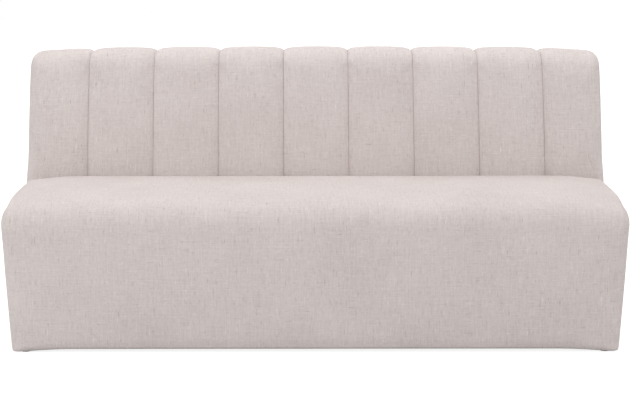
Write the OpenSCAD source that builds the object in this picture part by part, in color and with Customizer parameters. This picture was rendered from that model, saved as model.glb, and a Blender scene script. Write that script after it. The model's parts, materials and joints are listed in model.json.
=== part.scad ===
// Armless sofa with nine upright channels in its back, in millimetres.
// The origin is on the floor under the middle of the sofa. The seat faces -Y.

/* [Overall] */
// Width across the seat at its widest level
sofa_w = 1930; // [1800:10:2100]
// Depth from the front of the seat to the rear of the back at its top
sofa_d = 800; // [780:10:860]
// Height of the back above the floor
sofa_h = 878; // [840:2:960]
// Height of the crown of the seat above the floor
seat_h = 470; // [440:5:490]

/* [Seat form] */
// Distance from the seat crown down to the level where the seat is widest
shoulder_drop = 68; // [52:2:104]
// How far each end leans in from the widest level to the floor
end_lean = 32; // [4:2:36]
// How far the front leans in from the widest level to the floor
front_lean = 14; // [10:2:44]
// Inset of the rounding along the top of each end
shoulder_r = 18; // [16:2:44]
// Radius of the rounding along the top of the front
nose_r = 80; // [60:2:90]
// Inset of the rounding of the front corners below the nose
corner_r = 36; // [30:2:80]
// Inset of the rounding of the front corners at the hem
hem_corner_r = 26; // [22:1:38]
// Fall of the seat from its crown to its front and rear edges
seat_fall = 6; // [4:1:12]
// Extra fall of the seat towards its ends
end_fall = 12; // [4:1:16]
// Run over which the seat falls towards its ends
end_fall_run = 160; // [100:5:200]

/* [Back form] */
// Depth of the back from the foot of its channels to its rear at the top
back_d = 220; // [170:5:250]
// How far the front of the back leans back over its height
back_lean = 70; // [50:5:80]
// How far the rear of the sofa leans back from the floor to its top
rear_lean = 70; // [40:5:80]
// How far each end of the back stands in from the end of the seat
back_end_inset = 1; // [0:1:14]
// How far each end of the back leans in over its height
back_end_lean = 12; // [0:1:18]
// Radius of the rounding along the front of the top edge
top_front_r = 46; // [40:1:52]
// Radius of the rounding along the rear of the top edge
top_rear_r = 18; // [14:1:22]
// Inset of the rounding down each end of the back
back_end_r = 36; // [28:1:44]

/* [Channels] */
// Spacing of the sewn seams between the channels, as a share of the width
channel_share = 0.1124; // [0.1:0.0002:0.118]
// Depth of the sewn grooves below the crowns of the channels
groove_d = 12; // [6:1:16]
// Thickness of the channel fillings and their cover in front of the frame
channel_t = 60; // [54:2:68]
// Thickness of the channel fillings and their cover over the top of the frame
channel_top_t = 32; // [30:1:38]

/* [Cover] */
// Thickness of the woven cover
fabric_t = 2; // [1:0.5:3]
// Lowest height of the hem, at the corners
hem_low = 2; // [1:0.5:4]
// Rise of the hem between the corners
hem_rise = 9; // [4:1:10]
// Length along which the hem rises from each corner
hem_run = 215; // [120:5:260]
// Thickness of the dust cover under the base
dust_cover_t = 1; // [1:0.5:2]

/* [Padding] */
// Thickness of the padding and cover on the front board
front_pad_t = 20; // [16:1:22]
// Least thickness of the padding and cover on the end frames
end_pad_t = 10; // [8:1:14]
// Thickness of the felt over the springs
felt_t = 3; // [2:0.5:5]

/* [Frame] */
// Thickness of the plywood profile frames
ply_t = 18; // [15:1:24]
// Thickness of the front board
board_t = 4; // [3:1:6]
// Height of the underside of the frame above the floor
frame_z = 14; // [14:1:20]
// Depth of the top of the spring rails below the crown of the seat
deck_drop = 137; // [133:1:155]
// Height of the spring rails
spring_rail_h = 90; // [70:5:110]
// Thickness of the spring rails
spring_rail_t = 32; // [25:1:40]
// Height of the bottom rails
bottom_rail_h = 70; // [50:5:80]
// Thickness of the bottom rails
bottom_rail_t = 34; // [28:1:40]
// Height of the rails in the back
back_rail_h = 60; // [40:5:70]
// Thickness of the rails in the back
back_rail_t = 24; // [20:1:28]
// Distance of the middle frames from the middle of the sofa, as a share of the width
middle_frame_share = 0.168; // [0.15:0.002:0.18]
// Side of the triangular corner blocks
block_side = 52; // [40:2:60]
// Height of the triangular corner blocks
block_h = 56; // [40:2:64]

/* [Springs] */
// Number of zigzag springs under the seat
spring_n = 12; // [8:1:12]
// Distance of the outer springs from the end frames
spring_margin = 20; // [14:1:60]
// Diameter of the spring wire
wire_d = 3.8; // [3:0.2:4.4]
// Width of the zigzag
spring_w = 50; // [42:1:60]
// Number of bars in one zigzag spring
bar_n = 22; // [14:2:24]
// Rise of the springs above their ends
spring_rise = 18; // [10:1:22]

/* [Feet and fasteners] */
// Radius of a glide on the floor
glide_r = 18; // [14:1:20]
// Distance of the outer glides from the ends of the bottom rails
glide_end = 12; // [8:1:24]
// Distance of the middle glides behind the line of the outer ones, out of sight under the hem
middle_glide_inset = 40; // [38:1:60]
// Length of the frame screws
frame_screw_l = 60; // [50:5:70]
// Diameter of the frame screws
frame_screw_d = 4.4; // [4:0.2:5]

/* [Hidden] */
FRAME_NODES = ["left_end_frame", "right_end_frame", "left_middle_frame", "right_middle_frame",
    "front_spring_rail", "rear_spring_rail", "front_bottom_rail", "rear_bottom_rail",
    "back_top_rail", "back_lower_rail", "corner_blocks", "frame_screws", "front_board"];
SPRING_NODES = ["seat_springs", "spring_clips", "spring_tie_wires", "seat_felt"];
PAD_NODES = ["seat_foam", "front_padding", "left_end_padding", "right_end_padding",
    "left_back_padding", "right_back_padding", "webbing_across", "webbing_upright",
    "back_hessian"];
COVER_NODES = ["seat_cover", "left_end_cover", "right_end_cover", "left_back_end_cover",
    "right_back_end_cover", "outside_back_cover", "dust_cover"];
FOOT_NODES = ["corner_glides", "middle_glides", "glide_screws"];
FILLING_NODES = ["channel_filling_1", "channel_filling_2", "channel_filling_3", "channel_filling_4",
    "channel_filling_5", "channel_filling_6", "channel_filling_7", "channel_filling_8",
    "channel_filling_9"];
STRIP_NODES = ["channel_cover_1", "channel_cover_2", "channel_cover_3", "channel_cover_4",
    "channel_cover_5", "channel_cover_6", "channel_cover_7", "channel_cover_8", "channel_cover_9"];

$fn = 48;
CHANNEL_N = 9;
// Clearance between soft pieces, and overrun of a cut
fit_gap = 0.3;
overrun = 1;
linen = "#d3c6c2";
foam_yellow = "#e9dfb0";
wadding = "#efece6";
birch = "#c9a877";
pine = "#d8b98a";
steel = "#8f9296";
jute = "#a58c63";
black_felt = "#3c3a39";
glide_grey = "#5a5754";

// Levels and lines of the side view. Y runs back and Z runs up.
half_w = sofa_w / 2;
channel_pitch = channel_share * sofa_w;
middle_frame_x = middle_frame_share * sofa_w;
front_y = -sofa_d / 2;
rear_top_y = sofa_d / 2;
joint_y = rear_top_y - back_d;
wide_z = seat_h - shoulder_drop;
rail_top_z = seat_h - deck_drop;
joint_z = seat_h - seat_fall;
front_angle = atan(front_lean / wide_z);
face_angle = atan(back_lean / (sofa_h - joint_z));
rear_angle = atan(rear_lean / sofa_h);
front_n = [-cos(front_angle), -sin(front_angle)];
face_n = [-cos(face_angle), sin(face_angle)];
rear_n = [cos(rear_angle), -sin(rear_angle)];

// Depth into the piece is measured square to its outer face.
nose_y = front_y + nose_r;
nose_z = joint_z - nose_r;
nose_end_z = nose_z + nose_r * front_n[1];
function front_line(z, depth = 0) = nose_y + nose_r * front_n[0] + (nose_end_z - z) * tan(front_angle)
    + depth / cos(front_angle);
function face_line(z, depth = 0) = joint_y + (z - joint_z) * tan(face_angle) + depth / cos(face_angle);
rear_crest_y = rear_top_y - top_rear_r;
rear_crest_z = sofa_h - top_rear_r;
rear_end_z = rear_crest_z + top_rear_r * rear_n[1];
function rear_line(z, depth = 0) = rear_crest_y + top_rear_r * rear_n[0]
    - (rear_end_z - z) * tan(rear_angle) - depth / cos(rear_angle);
function seat_half_w(z) = half_w - end_lean * max(0, 1 - z / wide_z);
function back_half_w(z) = half_w - back_end_inset
    - back_end_lean * max(0, (z - joint_z) / (sofa_h - joint_z));
function ease(share) = (1 - cos(180 * min(1, max(0, share)))) / 2;
function hem_z(from_corner) = hem_low + hem_rise * ease(from_corner / hem_run);

// Mesh of a padded form between an outer and an inner grid of points, in rows and columns
function grid_faces(rows, cols, base, flip) = [for (r = [0:rows - 2], c = [0:cols - 2])
    let (a = base + r * cols + c, b = a + 1, d = a + cols, e = d + 1)
    each flip ? [[a, b, d], [b, e, d]] : [[a, d, b], [b, d, e]]];
function rim_ring(rows, cols) = concat([for (c = [0:cols - 1]) c],
    [for (r = [1:rows - 1]) r * cols + cols - 1],
    [for (c = [cols - 2:-1:0]) (rows - 1) * cols + c],
    [for (r = [rows - 2:-1:1]) r * cols]);
function rim_faces(ring, count) = [for (i = [0:len(ring) - 1])
    let (a = ring[i], b = ring[(i + 1) % len(ring)])
    each [[a, b, count + a], [b, count + b, count + a]]];
module padded_form(outer, inner) {
    rows = len(outer);
    cols = len(outer[0]);
    count = rows * cols;
    polyhedron(
        points = concat([for (row = outer) each row], [for (row = inner) each row]),
        faces = concat(grid_faces(rows, cols, 0, false), grid_faces(rows, cols, count, true),
            rim_faces(rim_ring(rows, cols), count)),
        convexity = 6);
}

// Side line of the seat from its joint with the back, over the nose and down to the hem.
// Each station holds y, z, the outward normal, the end rounding's inset and depth, and the
// share of the hem's rise that it takes.
seat_crown_y = (joint_y + nose_y) / 2;
joint_drop = 4;
front_blend_share = 0.8;
hem_share = 0.9;
nose_roll = nose_r - fabric_t;
seat_top_shares = [0, 0.03, 0.16, 0.36, 0.6, 0.82];
nose_shares = [0, 0.2, 0.4, 0.6, 0.8, 1];
front_shares = [0.1, 0.34, 0.65, 0.93, 1];
function seat_top_z(y) = seat_h - seat_fall * pow((y - seat_crown_y) / (joint_y - seat_crown_y), 2);
function top_station(share) =
    let (y = joint_y + share * (nose_y - joint_y), z = seat_top_z(y) - (share == 0 ? joint_drop : 0),
        deep = z - end_fall - wide_z)
    share > front_blend_share
        ? [y, z, 0, 1, (shoulder_r + corner_r) / 2, (deep + nose_roll - end_fall) / 2, 0]
        : [y, z, 0, 1, shoulder_r, deep, 0];
function nose_station(share) =
    let (turn = 90 + share * (90 + front_angle), n = [cos(turn), sin(turn)])
    [nose_y + nose_r * n[0], nose_z + nose_r * n[1], n[0], n[1], corner_r,
        nose_roll - end_fall * max(0, n[1]), 0];
function front_station(share) =
    let (z = nose_end_z + share * (hem_low - nose_end_z))
    [front_line(z), z, front_n[0], front_n[1], corner_r + share * (hem_corner_r - corner_r),
        nose_roll + share * (hem_corner_r - nose_roll),
        ease((share - hem_share) / (1 - hem_share))];
seat_stations = concat([for (s = seat_top_shares) top_station(s)],
    [for (s = nose_shares) nose_station(s)], [for (s = front_shares) front_station(s)]);

// Places across the seat: a share of the flat width, then the turn of the end rounding
seat_flat_shares = [-1, -0.93, -0.84, -0.5, 0, 0.5, 0.84, 0.93, 1];
roll_turns = [30, 60, 90];
seat_columns = concat([for (i = [len(roll_turns) - 1:-1:0]) [-1, roll_turns[i]]],
    [for (s = seat_flat_shares) [s, 0]], [for (t = roll_turns) [1, t]]);
function seat_point(s, column, depth) =
    let (flat_w = seat_half_w(s[1]) - s[4],
        fall = end_fall * pow(max(0, 1 - (1 - abs(column[0])) * flat_w / end_fall_run), 2),
        total = depth + fall * max(0, s[3]) + (s[5] - depth) * (1 - cos(column[1])),
        side = column[0] < 0 ? -1 : 1,
        z = s[1] - total * s[3],
        x = column[1] == 0 ? column[0] * flat_w
            : side * (seat_half_w(z) - depth - (s[4] - depth) * (1 - sin(column[1]))))
    [x, min(s[0] - total * s[2], face_line(z) - fit_gap), z + s[6] * (hem_z(half_w - abs(x)) - hem_low)];
function seat_grid(stations, depth) = [for (s = stations) [for (c = seat_columns) seat_point(s, c, depth)]];

// Side line of a channel from its foot behind the seat, up its face and over the top to the rear.
// Each station holds y, z, the outward normal, the end rounding's inset and depth, and the place
// on the frame that the filling rests on.
foot_z = wide_z + channel_t * face_n[1] + fit_gap;
frame_top_z = sofa_h - channel_top_t;
frame_corner_r = 8;
frame_corner_z = frame_top_z - frame_corner_r;
frame_corner_y = face_line(frame_corner_z + frame_corner_r * face_n[1], channel_t)
    - frame_corner_r * face_n[0];
crest_z = sofa_h - top_front_r;
face_end_z = crest_z + top_front_r * face_n[1];
crest_y = face_line(face_end_z) - top_front_r * face_n[0];
top_roll = channel_top_t - frame_corner_r;
rear_roll = top_rear_r - 2 * fabric_t;
face_shares = [0, 0.22, 0.6];
crest_shares = [0, 0.25, 0.5, 0.75, 1];
rear_crest_shares = [0, 0.5, 1];
function face_station(share) =
    let (z = foot_z + share * (face_end_z - foot_z))
    [face_line(z), z, face_n[0], face_n[1], back_end_r, back_end_r,
        face_line(z) - channel_t * face_n[0], z - channel_t * face_n[1]];
function crest_station(share) =
    let (turn = 180 - face_angle - share * (90 - face_angle), n = [cos(turn), sin(turn)])
    [crest_y + top_front_r * n[0], crest_z + top_front_r * n[1], n[0], n[1], back_end_r,
        back_end_r + share * (top_roll - back_end_r),
        frame_corner_y + frame_corner_r * n[0], frame_corner_z + frame_corner_r * n[1]];
function rear_crest_station(share) =
    let (turn = 90 - share * (90 + rear_angle), n = [cos(turn), sin(turn)],
        base_end = rear_line(frame_top_z, fabric_t + fit_gap))
    [rear_crest_y + top_rear_r * n[0], rear_crest_z + top_rear_r * n[1], n[0], n[1],
        back_end_r + share * (rear_roll - back_end_r), rear_roll,
        rear_crest_y + share * (base_end - rear_crest_y), frame_top_z];
back_stations = concat([for (s = face_shares) face_station(s)],
    [for (s = crest_shares) crest_station(s)], [for (s = rear_crest_shares) rear_crest_station(s)]);

// Places across a channel, from seam to seam, and across an end channel, from its seam to its end
seam_shares = [0, 0.04, 0.12, 0.27, 0.5, 0.73, 0.88, 0.96, 1];
end_seam_shares = [0, 0.04, 0.12, 0.27, 0.5, 0.8, 1];
groove_sharpness = 7;
last_seam_x = (CHANNEL_N / 2 - 1) * channel_pitch;
function groove(share) = groove_d * pow(abs(1 - 2 * share), groove_sharpness);
function middle_point(s, share, depth) =
    let (total = depth + groove(share))
    [(share - 0.5) * (channel_pitch - fit_gap), s[0] - total * s[2], s[1] - total * s[3]];
function end_point(s, column, depth) =
    let (flat_x = back_half_w(s[1]) - s[4], x = last_seam_x + fit_gap + column[0] * (flat_x - last_seam_x),
        across = min(0.5, (x - last_seam_x) / channel_pitch),
        total = depth + groove(across) + (s[5] - depth) * (1 - cos(column[1])),
        z = s[1] - total * s[3])
    [column[1] == 0 ? x : back_half_w(z) - depth - (s[4] - depth) * (1 - sin(column[1])),
        s[0] - total * s[2], z];
end_columns = concat([for (s = end_seam_shares) [s, 0]], [for (t = roll_turns) [1, t]]);
function on_base(point, s) = [point[0], s[6], s[7]];

// Frame, as seen from the side
hessian_t = 1;
web_t = 1.2;
clip_t = 1.5;
front_in = front_pad_t + board_t;
rear_in = fabric_t + fit_gap;
back_in = channel_t + hessian_t + 2 * web_t;
frame_out_x = seat_half_w(0) - end_pad_t;
frame_in_x = frame_out_x - ply_t;
spring_pitch = (2 * (frame_in_x - spring_margin) - spring_w) / (spring_n - 1);
front_rail_y = front_line(rail_top_z, front_in) + spring_rail_t;
rear_rail_y = face_line(rail_top_z, back_in);
spring_start_y = front_rail_y - spring_rail_t / 2;
spring_end_y = rear_rail_y - spring_rail_t / 2;
spring_mid_y = (spring_start_y + spring_end_y) / 2;
spring_half = (spring_end_y - spring_start_y) / 2;
foam_rear_z = rail_top_z + spring_rise;
foam_rear_y = face_line(foam_rear_z) - fit_gap;
deck_shares = [0, 0.08, 0.2, 0.35, 0.5, 0.65, 0.8, 0.92, 1];
function rise(y) = spring_rise * max(0, 1 - pow((y - spring_mid_y) / spring_half, 2));
deck_table = [for (s = deck_shares) let (y = spring_start_y + s * 2 * spring_half)
    [y, rail_top_z + 2 * clip_t + wire_d + rise(y)]];
function deck_z(y) = lookup(y, deck_table);
function deck_line(from_y, to_y, lift) = concat([[from_y, deck_z(from_y) + lift]],
    [for (p = deck_table) if (p[0] > from_y && p[0] < to_y) [p[0], p[1] + lift]],
    [[to_y, deck_z(to_y) + lift]]);
function corner_arc(depth) = let (y = face_line(frame_corner_z + frame_corner_r * face_n[1], depth)
        - frame_corner_r * face_n[0])
    [for (s = crest_shares) let (turn = 180 - face_angle - s * (90 - face_angle))
        [y + frame_corner_r * cos(turn), frame_corner_z + frame_corner_r * sin(turn)]];
function upright_outline(low_z, depth) = concat([[face_line(low_z, depth), low_z]], corner_arc(depth),
    [[rear_line(frame_top_z, rear_in), frame_top_z], [rear_line(low_z, rear_in), low_z]]);

// Rails, as seen from the side
lower_rail_z = wide_z;
middle_drop = 40;
deck_start_z = deck_z(spring_start_y);
front_bottom_y = front_line(frame_z, front_in) + bottom_rail_t;
rear_bottom_y = rear_line(frame_z, rear_in) - bottom_rail_t;
spring_rail_z = rail_top_z - spring_rail_h;
bottom_rail_top_z = frame_z + bottom_rail_h;
top_rail_z = frame_top_z - back_rail_t;
front_spring_outline = [[front_line(spring_rail_z, front_in), spring_rail_z],
    [front_line(rail_top_z, front_in), rail_top_z], [front_rail_y, rail_top_z],
    [front_rail_y, spring_rail_z]];
rear_spring_outline = [[rear_rail_y - spring_rail_t, spring_rail_z],
    [rear_rail_y - spring_rail_t, rail_top_z], [rear_rail_y, rail_top_z], [rear_rail_y, spring_rail_z]];
front_bottom_outline = [[front_line(frame_z, front_in), frame_z],
    [front_line(bottom_rail_top_z, front_in), bottom_rail_top_z], [front_bottom_y, bottom_rail_top_z],
    [front_bottom_y, frame_z]];
rear_bottom_outline = [[rear_bottom_y, frame_z], [rear_bottom_y, bottom_rail_top_z],
    [rear_line(bottom_rail_top_z, rear_in), bottom_rail_top_z], [rear_line(frame_z, rear_in), frame_z]];
top_rail_outline = upright_outline(top_rail_z, back_in);
lower_rail_outline = [[face_line(lower_rail_z, back_in), lower_rail_z],
    [face_line(lower_rail_z + back_rail_h, back_in), lower_rail_z + back_rail_h],
    [face_line(lower_rail_z + back_rail_h, back_in + back_rail_t), lower_rail_z + back_rail_h],
    [face_line(lower_rail_z, back_in + back_rail_t), lower_rail_z]];

// Screws through the end frames into the rails, as y and z
screw_edge_share = 0.25;
top_rail_mid_y = (face_line(top_rail_z, back_in) + rear_line(top_rail_z, rear_in)) / 2;
function screw_pair(y, z, h) = [[y, z + screw_edge_share * h], [y, z + (1 - screw_edge_share) * h]];
front_spring_screws = screw_pair(spring_start_y, spring_rail_z, spring_rail_h);
rear_spring_screws = screw_pair(spring_end_y, spring_rail_z, spring_rail_h);
front_bottom_screws = screw_pair(front_bottom_y - bottom_rail_t / 2, frame_z, bottom_rail_h);
rear_bottom_screws = screw_pair(rear_bottom_y + bottom_rail_t / 2, frame_z, bottom_rail_h);
top_rail_screws = [[top_rail_mid_y, top_rail_z + back_rail_t / 2]];
lower_rail_screws = [[face_line(lower_rail_z + back_rail_h / 2, back_in + back_rail_t / 2),
    lower_rail_z + back_rail_h / 2]];
screw_places = concat(front_spring_screws, rear_spring_screws, front_bottom_screws,
    rear_bottom_screws, top_rail_screws, lower_rail_screws);
pilot_gap = 0.1;
screw_head_r = frame_screw_d;
screw_head_h = frame_screw_d / 2;

// Glides and their screws
glide_h = frame_z - dust_cover_t;
glide_top_share = 0.85;
glide_screw_d = 4;
glide_screw_l = 24;
glide_head_r = glide_screw_d;
glide_head_h = 2.4;
glide_recess = 4;
corner_glide_x = frame_in_x - glide_end;
glide_ys = [front_line(0, front_pad_t) + glide_r, rear_line(0, rear_in) - glide_r];
middle_glide_ys = [glide_ys[0] + middle_glide_inset, glide_ys[1] - middle_glide_inset];
glide_places = concat([for (y = glide_ys) [corner_glide_x, y]],
    [for (y = middle_glide_ys) [middle_frame_x, y]]);

// Outline of each end of the base and of the back, where their covers meet the rounded edges
hem_shares = [0, 0.08, 0.16, 0.24, 0.34, 0.66, 0.76, 0.84, 0.92, 1];
base_edge = [for (s = seat_stations) let (p = seat_point(s, [1, 90], 0)) [p[1], p[2]]];
hem_front_y = base_edge[len(base_edge) - 1][0];
hem_rear_y = rear_line(hem_low, fabric_t);
hem_edge = [for (s = hem_shares) let (y = hem_front_y + s * (hem_rear_y - hem_front_y))
    [y, hem_z(min(y - hem_front_y, hem_rear_y - y))]];
base_outline = concat(base_edge, [for (i = [1:len(hem_edge) - 1]) hem_edge[i]],
    [[rear_line(wide_z, fabric_t), wide_z]]);
back_low_z = wide_z + fit_gap;
back_edge = [for (s = back_stations) let (p = end_point(s, [1, 90], 0)) [p[1], p[2]]];
back_outline = concat([[back_edge[0][0], back_low_z]], back_edge,
    [[rear_line(rear_end_z - rear_roll, fabric_t), rear_end_z - rear_roll],
    [rear_line(back_low_z, fabric_t), back_low_z]]);
pad_outline = concat([[front_y, frame_z]], deck_line(front_y, foam_rear_y, felt_t),
    [[foam_rear_y + fit_gap, wide_z], [rear_line(wide_z, rear_in), wide_z],
    [rear_line(frame_z, rear_in), frame_z]]);

// Extrude a side view along X, and a front view along Y
module along_x(from_x, to_x) {
    translate([from_x, 0, 0]) rotate([90, 0, 90]) linear_extrude(to_x - from_x) children();
}
module along_y() {
    translate([0, rear_top_y, 0]) rotate([90, 0, 0]) linear_extrude(sofa_d) children();
}
module both_sides() {
    children();
    mirror([1, 0, 0]) children();
}

// Plywood profile frames with lightening holes
window_w = 150;
window_edge = 16;
window_h = spring_rail_z - bottom_rail_top_z - 2 * window_edge;
window_r_share = 0.21;
window_r = window_r_share * window_h;
window_pitch = 186;
slot_w = 30;
slot_l = 130;
slot_pitch = 190;
module rounded_window(w, h, r) {
    square([w - 2 * r, h], center = true);
    square([w, h - 2 * r], center = true);
    for (i = [-1, 1], j = [-1, 1]) translate([i * (w / 2 - r), j * (h / 2 - r)]) circle(r);
}
module lightening_holes() {
    window_z = (bottom_rail_top_z + spring_rail_z) / 2;
    for (i = [-1, 0, 1]) translate([spring_mid_y + i * window_pitch, window_z])
        rounded_window(window_w, window_h, window_r);
    slot_z = (lower_rail_z + back_rail_h + top_rail_z) / 2;
    slot_y = (face_line(slot_z, back_in) + rear_line(slot_z, rear_in)) / 2;
    for (i = [-1, 1]) translate([slot_y, slot_z]) rotate(-(face_angle + rear_angle) / 2)
        translate([0, i * slot_pitch / 2]) rounded_window(slot_w, slot_l, slot_w / 3);
}
module screw_holes(from_x, length) {
    for (p = screw_places) translate([from_x, p[0], p[1]]) rotate([0, 90, 0])
        cylinder(h = length, r = frame_screw_d / 2 + pilot_gap);
}
module end_frame() {
    color(birch) difference() {
        along_x(frame_in_x, frame_out_x) difference() {
            polygon(concat([[front_line(frame_z, front_in), frame_z]],
                deck_line(front_line(deck_start_z, front_in), rear_rail_y, 0),
                upright_outline(deck_start_z, back_in), [[rear_line(frame_z, rear_in), frame_z]]));
            lightening_holes();
        }
        screw_holes(frame_in_x - overrun, ply_t + 2 * overrun);
        for (p = screw_places) translate([frame_out_x - screw_head_h, p[0], p[1]]) rotate([0, 90, 0])
            cylinder(h = screw_head_h + overrun, r = screw_head_r + pilot_gap);
    }
}
module middle_frame() {
    low_z = rail_top_z - middle_drop;
    color(birch) difference() {
        along_x(middle_frame_x - ply_t / 2, middle_frame_x + ply_t / 2) difference() {
            polygon(concat([[front_line(frame_z, front_in), frame_z],
                [front_line(low_z, front_in), low_z], [rear_rail_y, low_z]],
                upright_outline(rail_top_z, back_in), [[rear_line(frame_z, rear_in), frame_z]]));
            lightening_holes();
            for (rail = [front_spring_outline, rear_spring_outline, front_bottom_outline,
                rear_bottom_outline, top_rail_outline, lower_rail_outline]) polygon(rail);
        }
        glide_screw_holes();
    }
}
module left_end_frame() { mirror([1, 0, 0]) end_frame(); }
module right_end_frame() { end_frame(); }
module left_middle_frame() { mirror([1, 0, 0]) middle_frame(); }
module right_middle_frame() { middle_frame(); }

module rail(outline, screws) {
    color(pine) difference() {
        along_x(-frame_in_x, frame_in_x) polygon(outline);
        both_sides() for (p = screws) translate([frame_in_x + ply_t - frame_screw_l, p[0], p[1]])
            rotate([0, 90, 0]) cylinder(h = frame_screw_l, r = frame_screw_d / 2 + pilot_gap);
    }
}
module glide_screw_holes() {
    both_sides() for (p = glide_places) translate([p[0], p[1], 0])
        cylinder(h = glide_recess + glide_screw_l, r = glide_screw_d / 2 + pilot_gap);
}
module front_spring_rail() { rail(front_spring_outline, front_spring_screws); }
module rear_spring_rail() { rail(rear_spring_outline, rear_spring_screws); }
module front_bottom_rail() {
    difference() {
        rail(front_bottom_outline, front_bottom_screws);
        glide_screw_holes();
    }
}
module rear_bottom_rail() {
    difference() {
        rail(rear_bottom_outline, rear_bottom_screws);
        glide_screw_holes();
    }
}
module back_top_rail() { rail(top_rail_outline, top_rail_screws); }
module back_lower_rail() { rail(lower_rail_outline, lower_rail_screws); }
module corner_block(y, way, z) {
    translate([frame_in_x, y, z]) linear_extrude(block_h)
        polygon([[0, 0], [-block_side, 0], [0, way * block_side]]);
}
module corner_blocks() {
    color(pine) both_sides() {
        corner_block(front_bottom_y, 1, frame_z);
        corner_block(rear_bottom_y, -1, frame_z);
        corner_block(front_rail_y, 1, spring_rail_z);
        corner_block(rear_rail_y - spring_rail_t, -1, spring_rail_z);
    }
}
module frame_screws() {
    color(steel) both_sides() for (p = screw_places) translate([frame_out_x, p[0], p[1]])
        rotate([0, -90, 0]) {
            cylinder(h = screw_head_h, r1 = screw_head_r, r2 = frame_screw_d / 2);
            cylinder(h = frame_screw_l, r = frame_screw_d / 2);
        }
}
module front_board() {
    color(birch) along_x(-frame_out_x, frame_out_x) polygon([
        [front_line(frame_z, front_pad_t), frame_z], [front_line(deck_start_z, front_pad_t), deck_start_z],
        [front_line(deck_start_z, front_in), deck_start_z], [front_line(frame_z, front_in), frame_z]]);
}

// Zigzag spring of one unbroken wire, swept along bars that lie across the seat
wire_sides = 4;
bar_pitch = (spring_end_y - spring_start_y) / (bar_n - 1);
function spring_x(i) = (i - (spring_n - 1) / 2) * spring_pitch;
function wire_z(y) = rail_top_z + clip_t + wire_d / 2 + rise(y);
function wire_path() = [for (i = [0:bar_n - 1])
    let (way = i % 2 == 0 ? 1 : -1, reach = spring_w / 2 - bar_pitch / 4,
        y = spring_start_y + i * bar_pitch, turn_y = y + bar_pitch / 2)
    each i < bar_n - 1
        ? [[-way * reach, y, wire_z(y)], [way * reach, y, wire_z(y)],
            [way * spring_w / 2, turn_y, wire_z(turn_y)]]
        : [[-way * reach, y, wire_z(y)], [way * reach, y, wire_z(y)]]];
function flat_unit(v) = let (size = norm([v[0], v[1]])) [v[0] / size, v[1] / size];
module wire(path, r) {
    last = len(path) - 1;
    rings = [for (i = [0:last])
        let (along = flat_unit(path[min(last, i + 1)] - path[max(0, i - 1)]),
            side = [along[1], -along[0], 0])
        for (k = [0:wire_sides - 1]) let (turn = 360 * (k + 0.5) / wire_sides)
            path[i] + r * sqrt(2) * (cos(turn) * side + [0, 0, sin(turn)])];
    polyhedron(points = rings, faces = concat(
        [[for (k = [0:wire_sides - 1]) k]],
        [for (i = [0:last - 1], k = [0:wire_sides - 1])
            let (a = i * wire_sides + k, b = i * wire_sides + (k + 1) % wire_sides)
            each [[a, a + wire_sides, b], [b, a + wire_sides, b + wire_sides]]],
        [[for (k = [wire_sides - 1:-1:0]) last * wire_sides + k]]), convexity = 8);
}
module seat_springs() {
    color(steel) for (i = [0:spring_n - 1]) translate([spring_x(i), 0, 0]) wire(wire_path(), wire_d / 2);
}
clip_w = 18;
clip_l = 14;
module spring_clip(y, way) {
    translate([-clip_w / 2, y, rail_top_z]) {
        translate([0, min(0, way * clip_l), 0]) cube([clip_w, clip_l, clip_t]);
        translate([0, 0, clip_t + wire_d / 2]) rotate([0, 90, 0]) difference() {
            cylinder(h = clip_w, r = wire_d / 2 + clip_t);
            translate([0, 0, -overrun])
                cylinder(h = clip_w + 2 * overrun, r = wire_d / 2 * sqrt(2) + pilot_gap);
        }
    }
}
module spring_clips() {
    color(steel) for (i = [0:spring_n - 1]) translate([spring_x(i), 0, 0]) {
        spring_clip(spring_start_y, -1);
        spring_clip(spring_end_y, 1);
    }
}
tie_d = 2.6;
tie_shares = [0.33, 0.67];
module spring_tie_wires() {
    tie_w = (spring_n - 1) * spring_pitch + spring_w;
    color(steel) for (s = tie_shares) {
        y = spring_start_y + round(s * (bar_n - 1)) * bar_pitch;
        translate([-tie_w / 2, y, wire_z(y) - wire_d / 2 - tie_d / 2]) rotate([0, 90, 0])
            cylinder(h = tie_w, r = tie_d / 2);
    }
}
module seat_felt() {
    felt_front_y = front_line(deck_start_z, front_pad_t);
    low = deck_line(felt_front_y, rear_rail_y, 0);
    high = deck_line(felt_front_y, rear_rail_y, felt_t);
    color(black_felt) along_x(-frame_out_x, frame_out_x)
        polygon(concat(low, [for (i = [len(high) - 1:-1:0]) high[i]]));
}

// Foam and padding
foam_front_z = deck_start_z + felt_t + fit_gap;
foam_front_share = (nose_end_z - foam_front_z) / (nose_end_z - hem_low);
foam_stations = concat([for (s = seat_top_shares) top_station(s)], [for (s = nose_shares) nose_station(s)],
    [front_station(foam_front_share)]);
pad_shares = [0, 0.33, 0.66, 0.9, 1];
pad_stations = [for (s = pad_shares) front_station(foam_front_share + s * (1 - foam_front_share))];
soft_in = fabric_t + fit_gap;
module seat_foam() {
    rows = len(foam_stations);
    outer = seat_grid(foam_stations, soft_in);
    inner = [for (i = [0:rows - 1]) [for (c = [0:len(outer[i]) - 1])
        let (y = foam_rear_y + i / (rows - 1) * (outer[rows - 1][c][1] - foam_rear_y),
            z = deck_z(y) + felt_t + fit_gap, x = outer[i][c][0],
            reach = min(abs(x), seat_half_w(z) - soft_in))
        [x < 0 ? -reach : reach, y, z]]];
    color(foam_yellow) padded_form(outer, inner);
}
function pad_base(s, column, z) =
    let (deep = front_pad_t + (s[5] - front_pad_t) * column[1] / 90, side = column[0] < 0 ? -1 : 1,
        reach = frame_out_x + fit_gap)
    [column[1] == 0 ? column[0] * reach : side * reach, front_line(z, deep), z];
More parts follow.
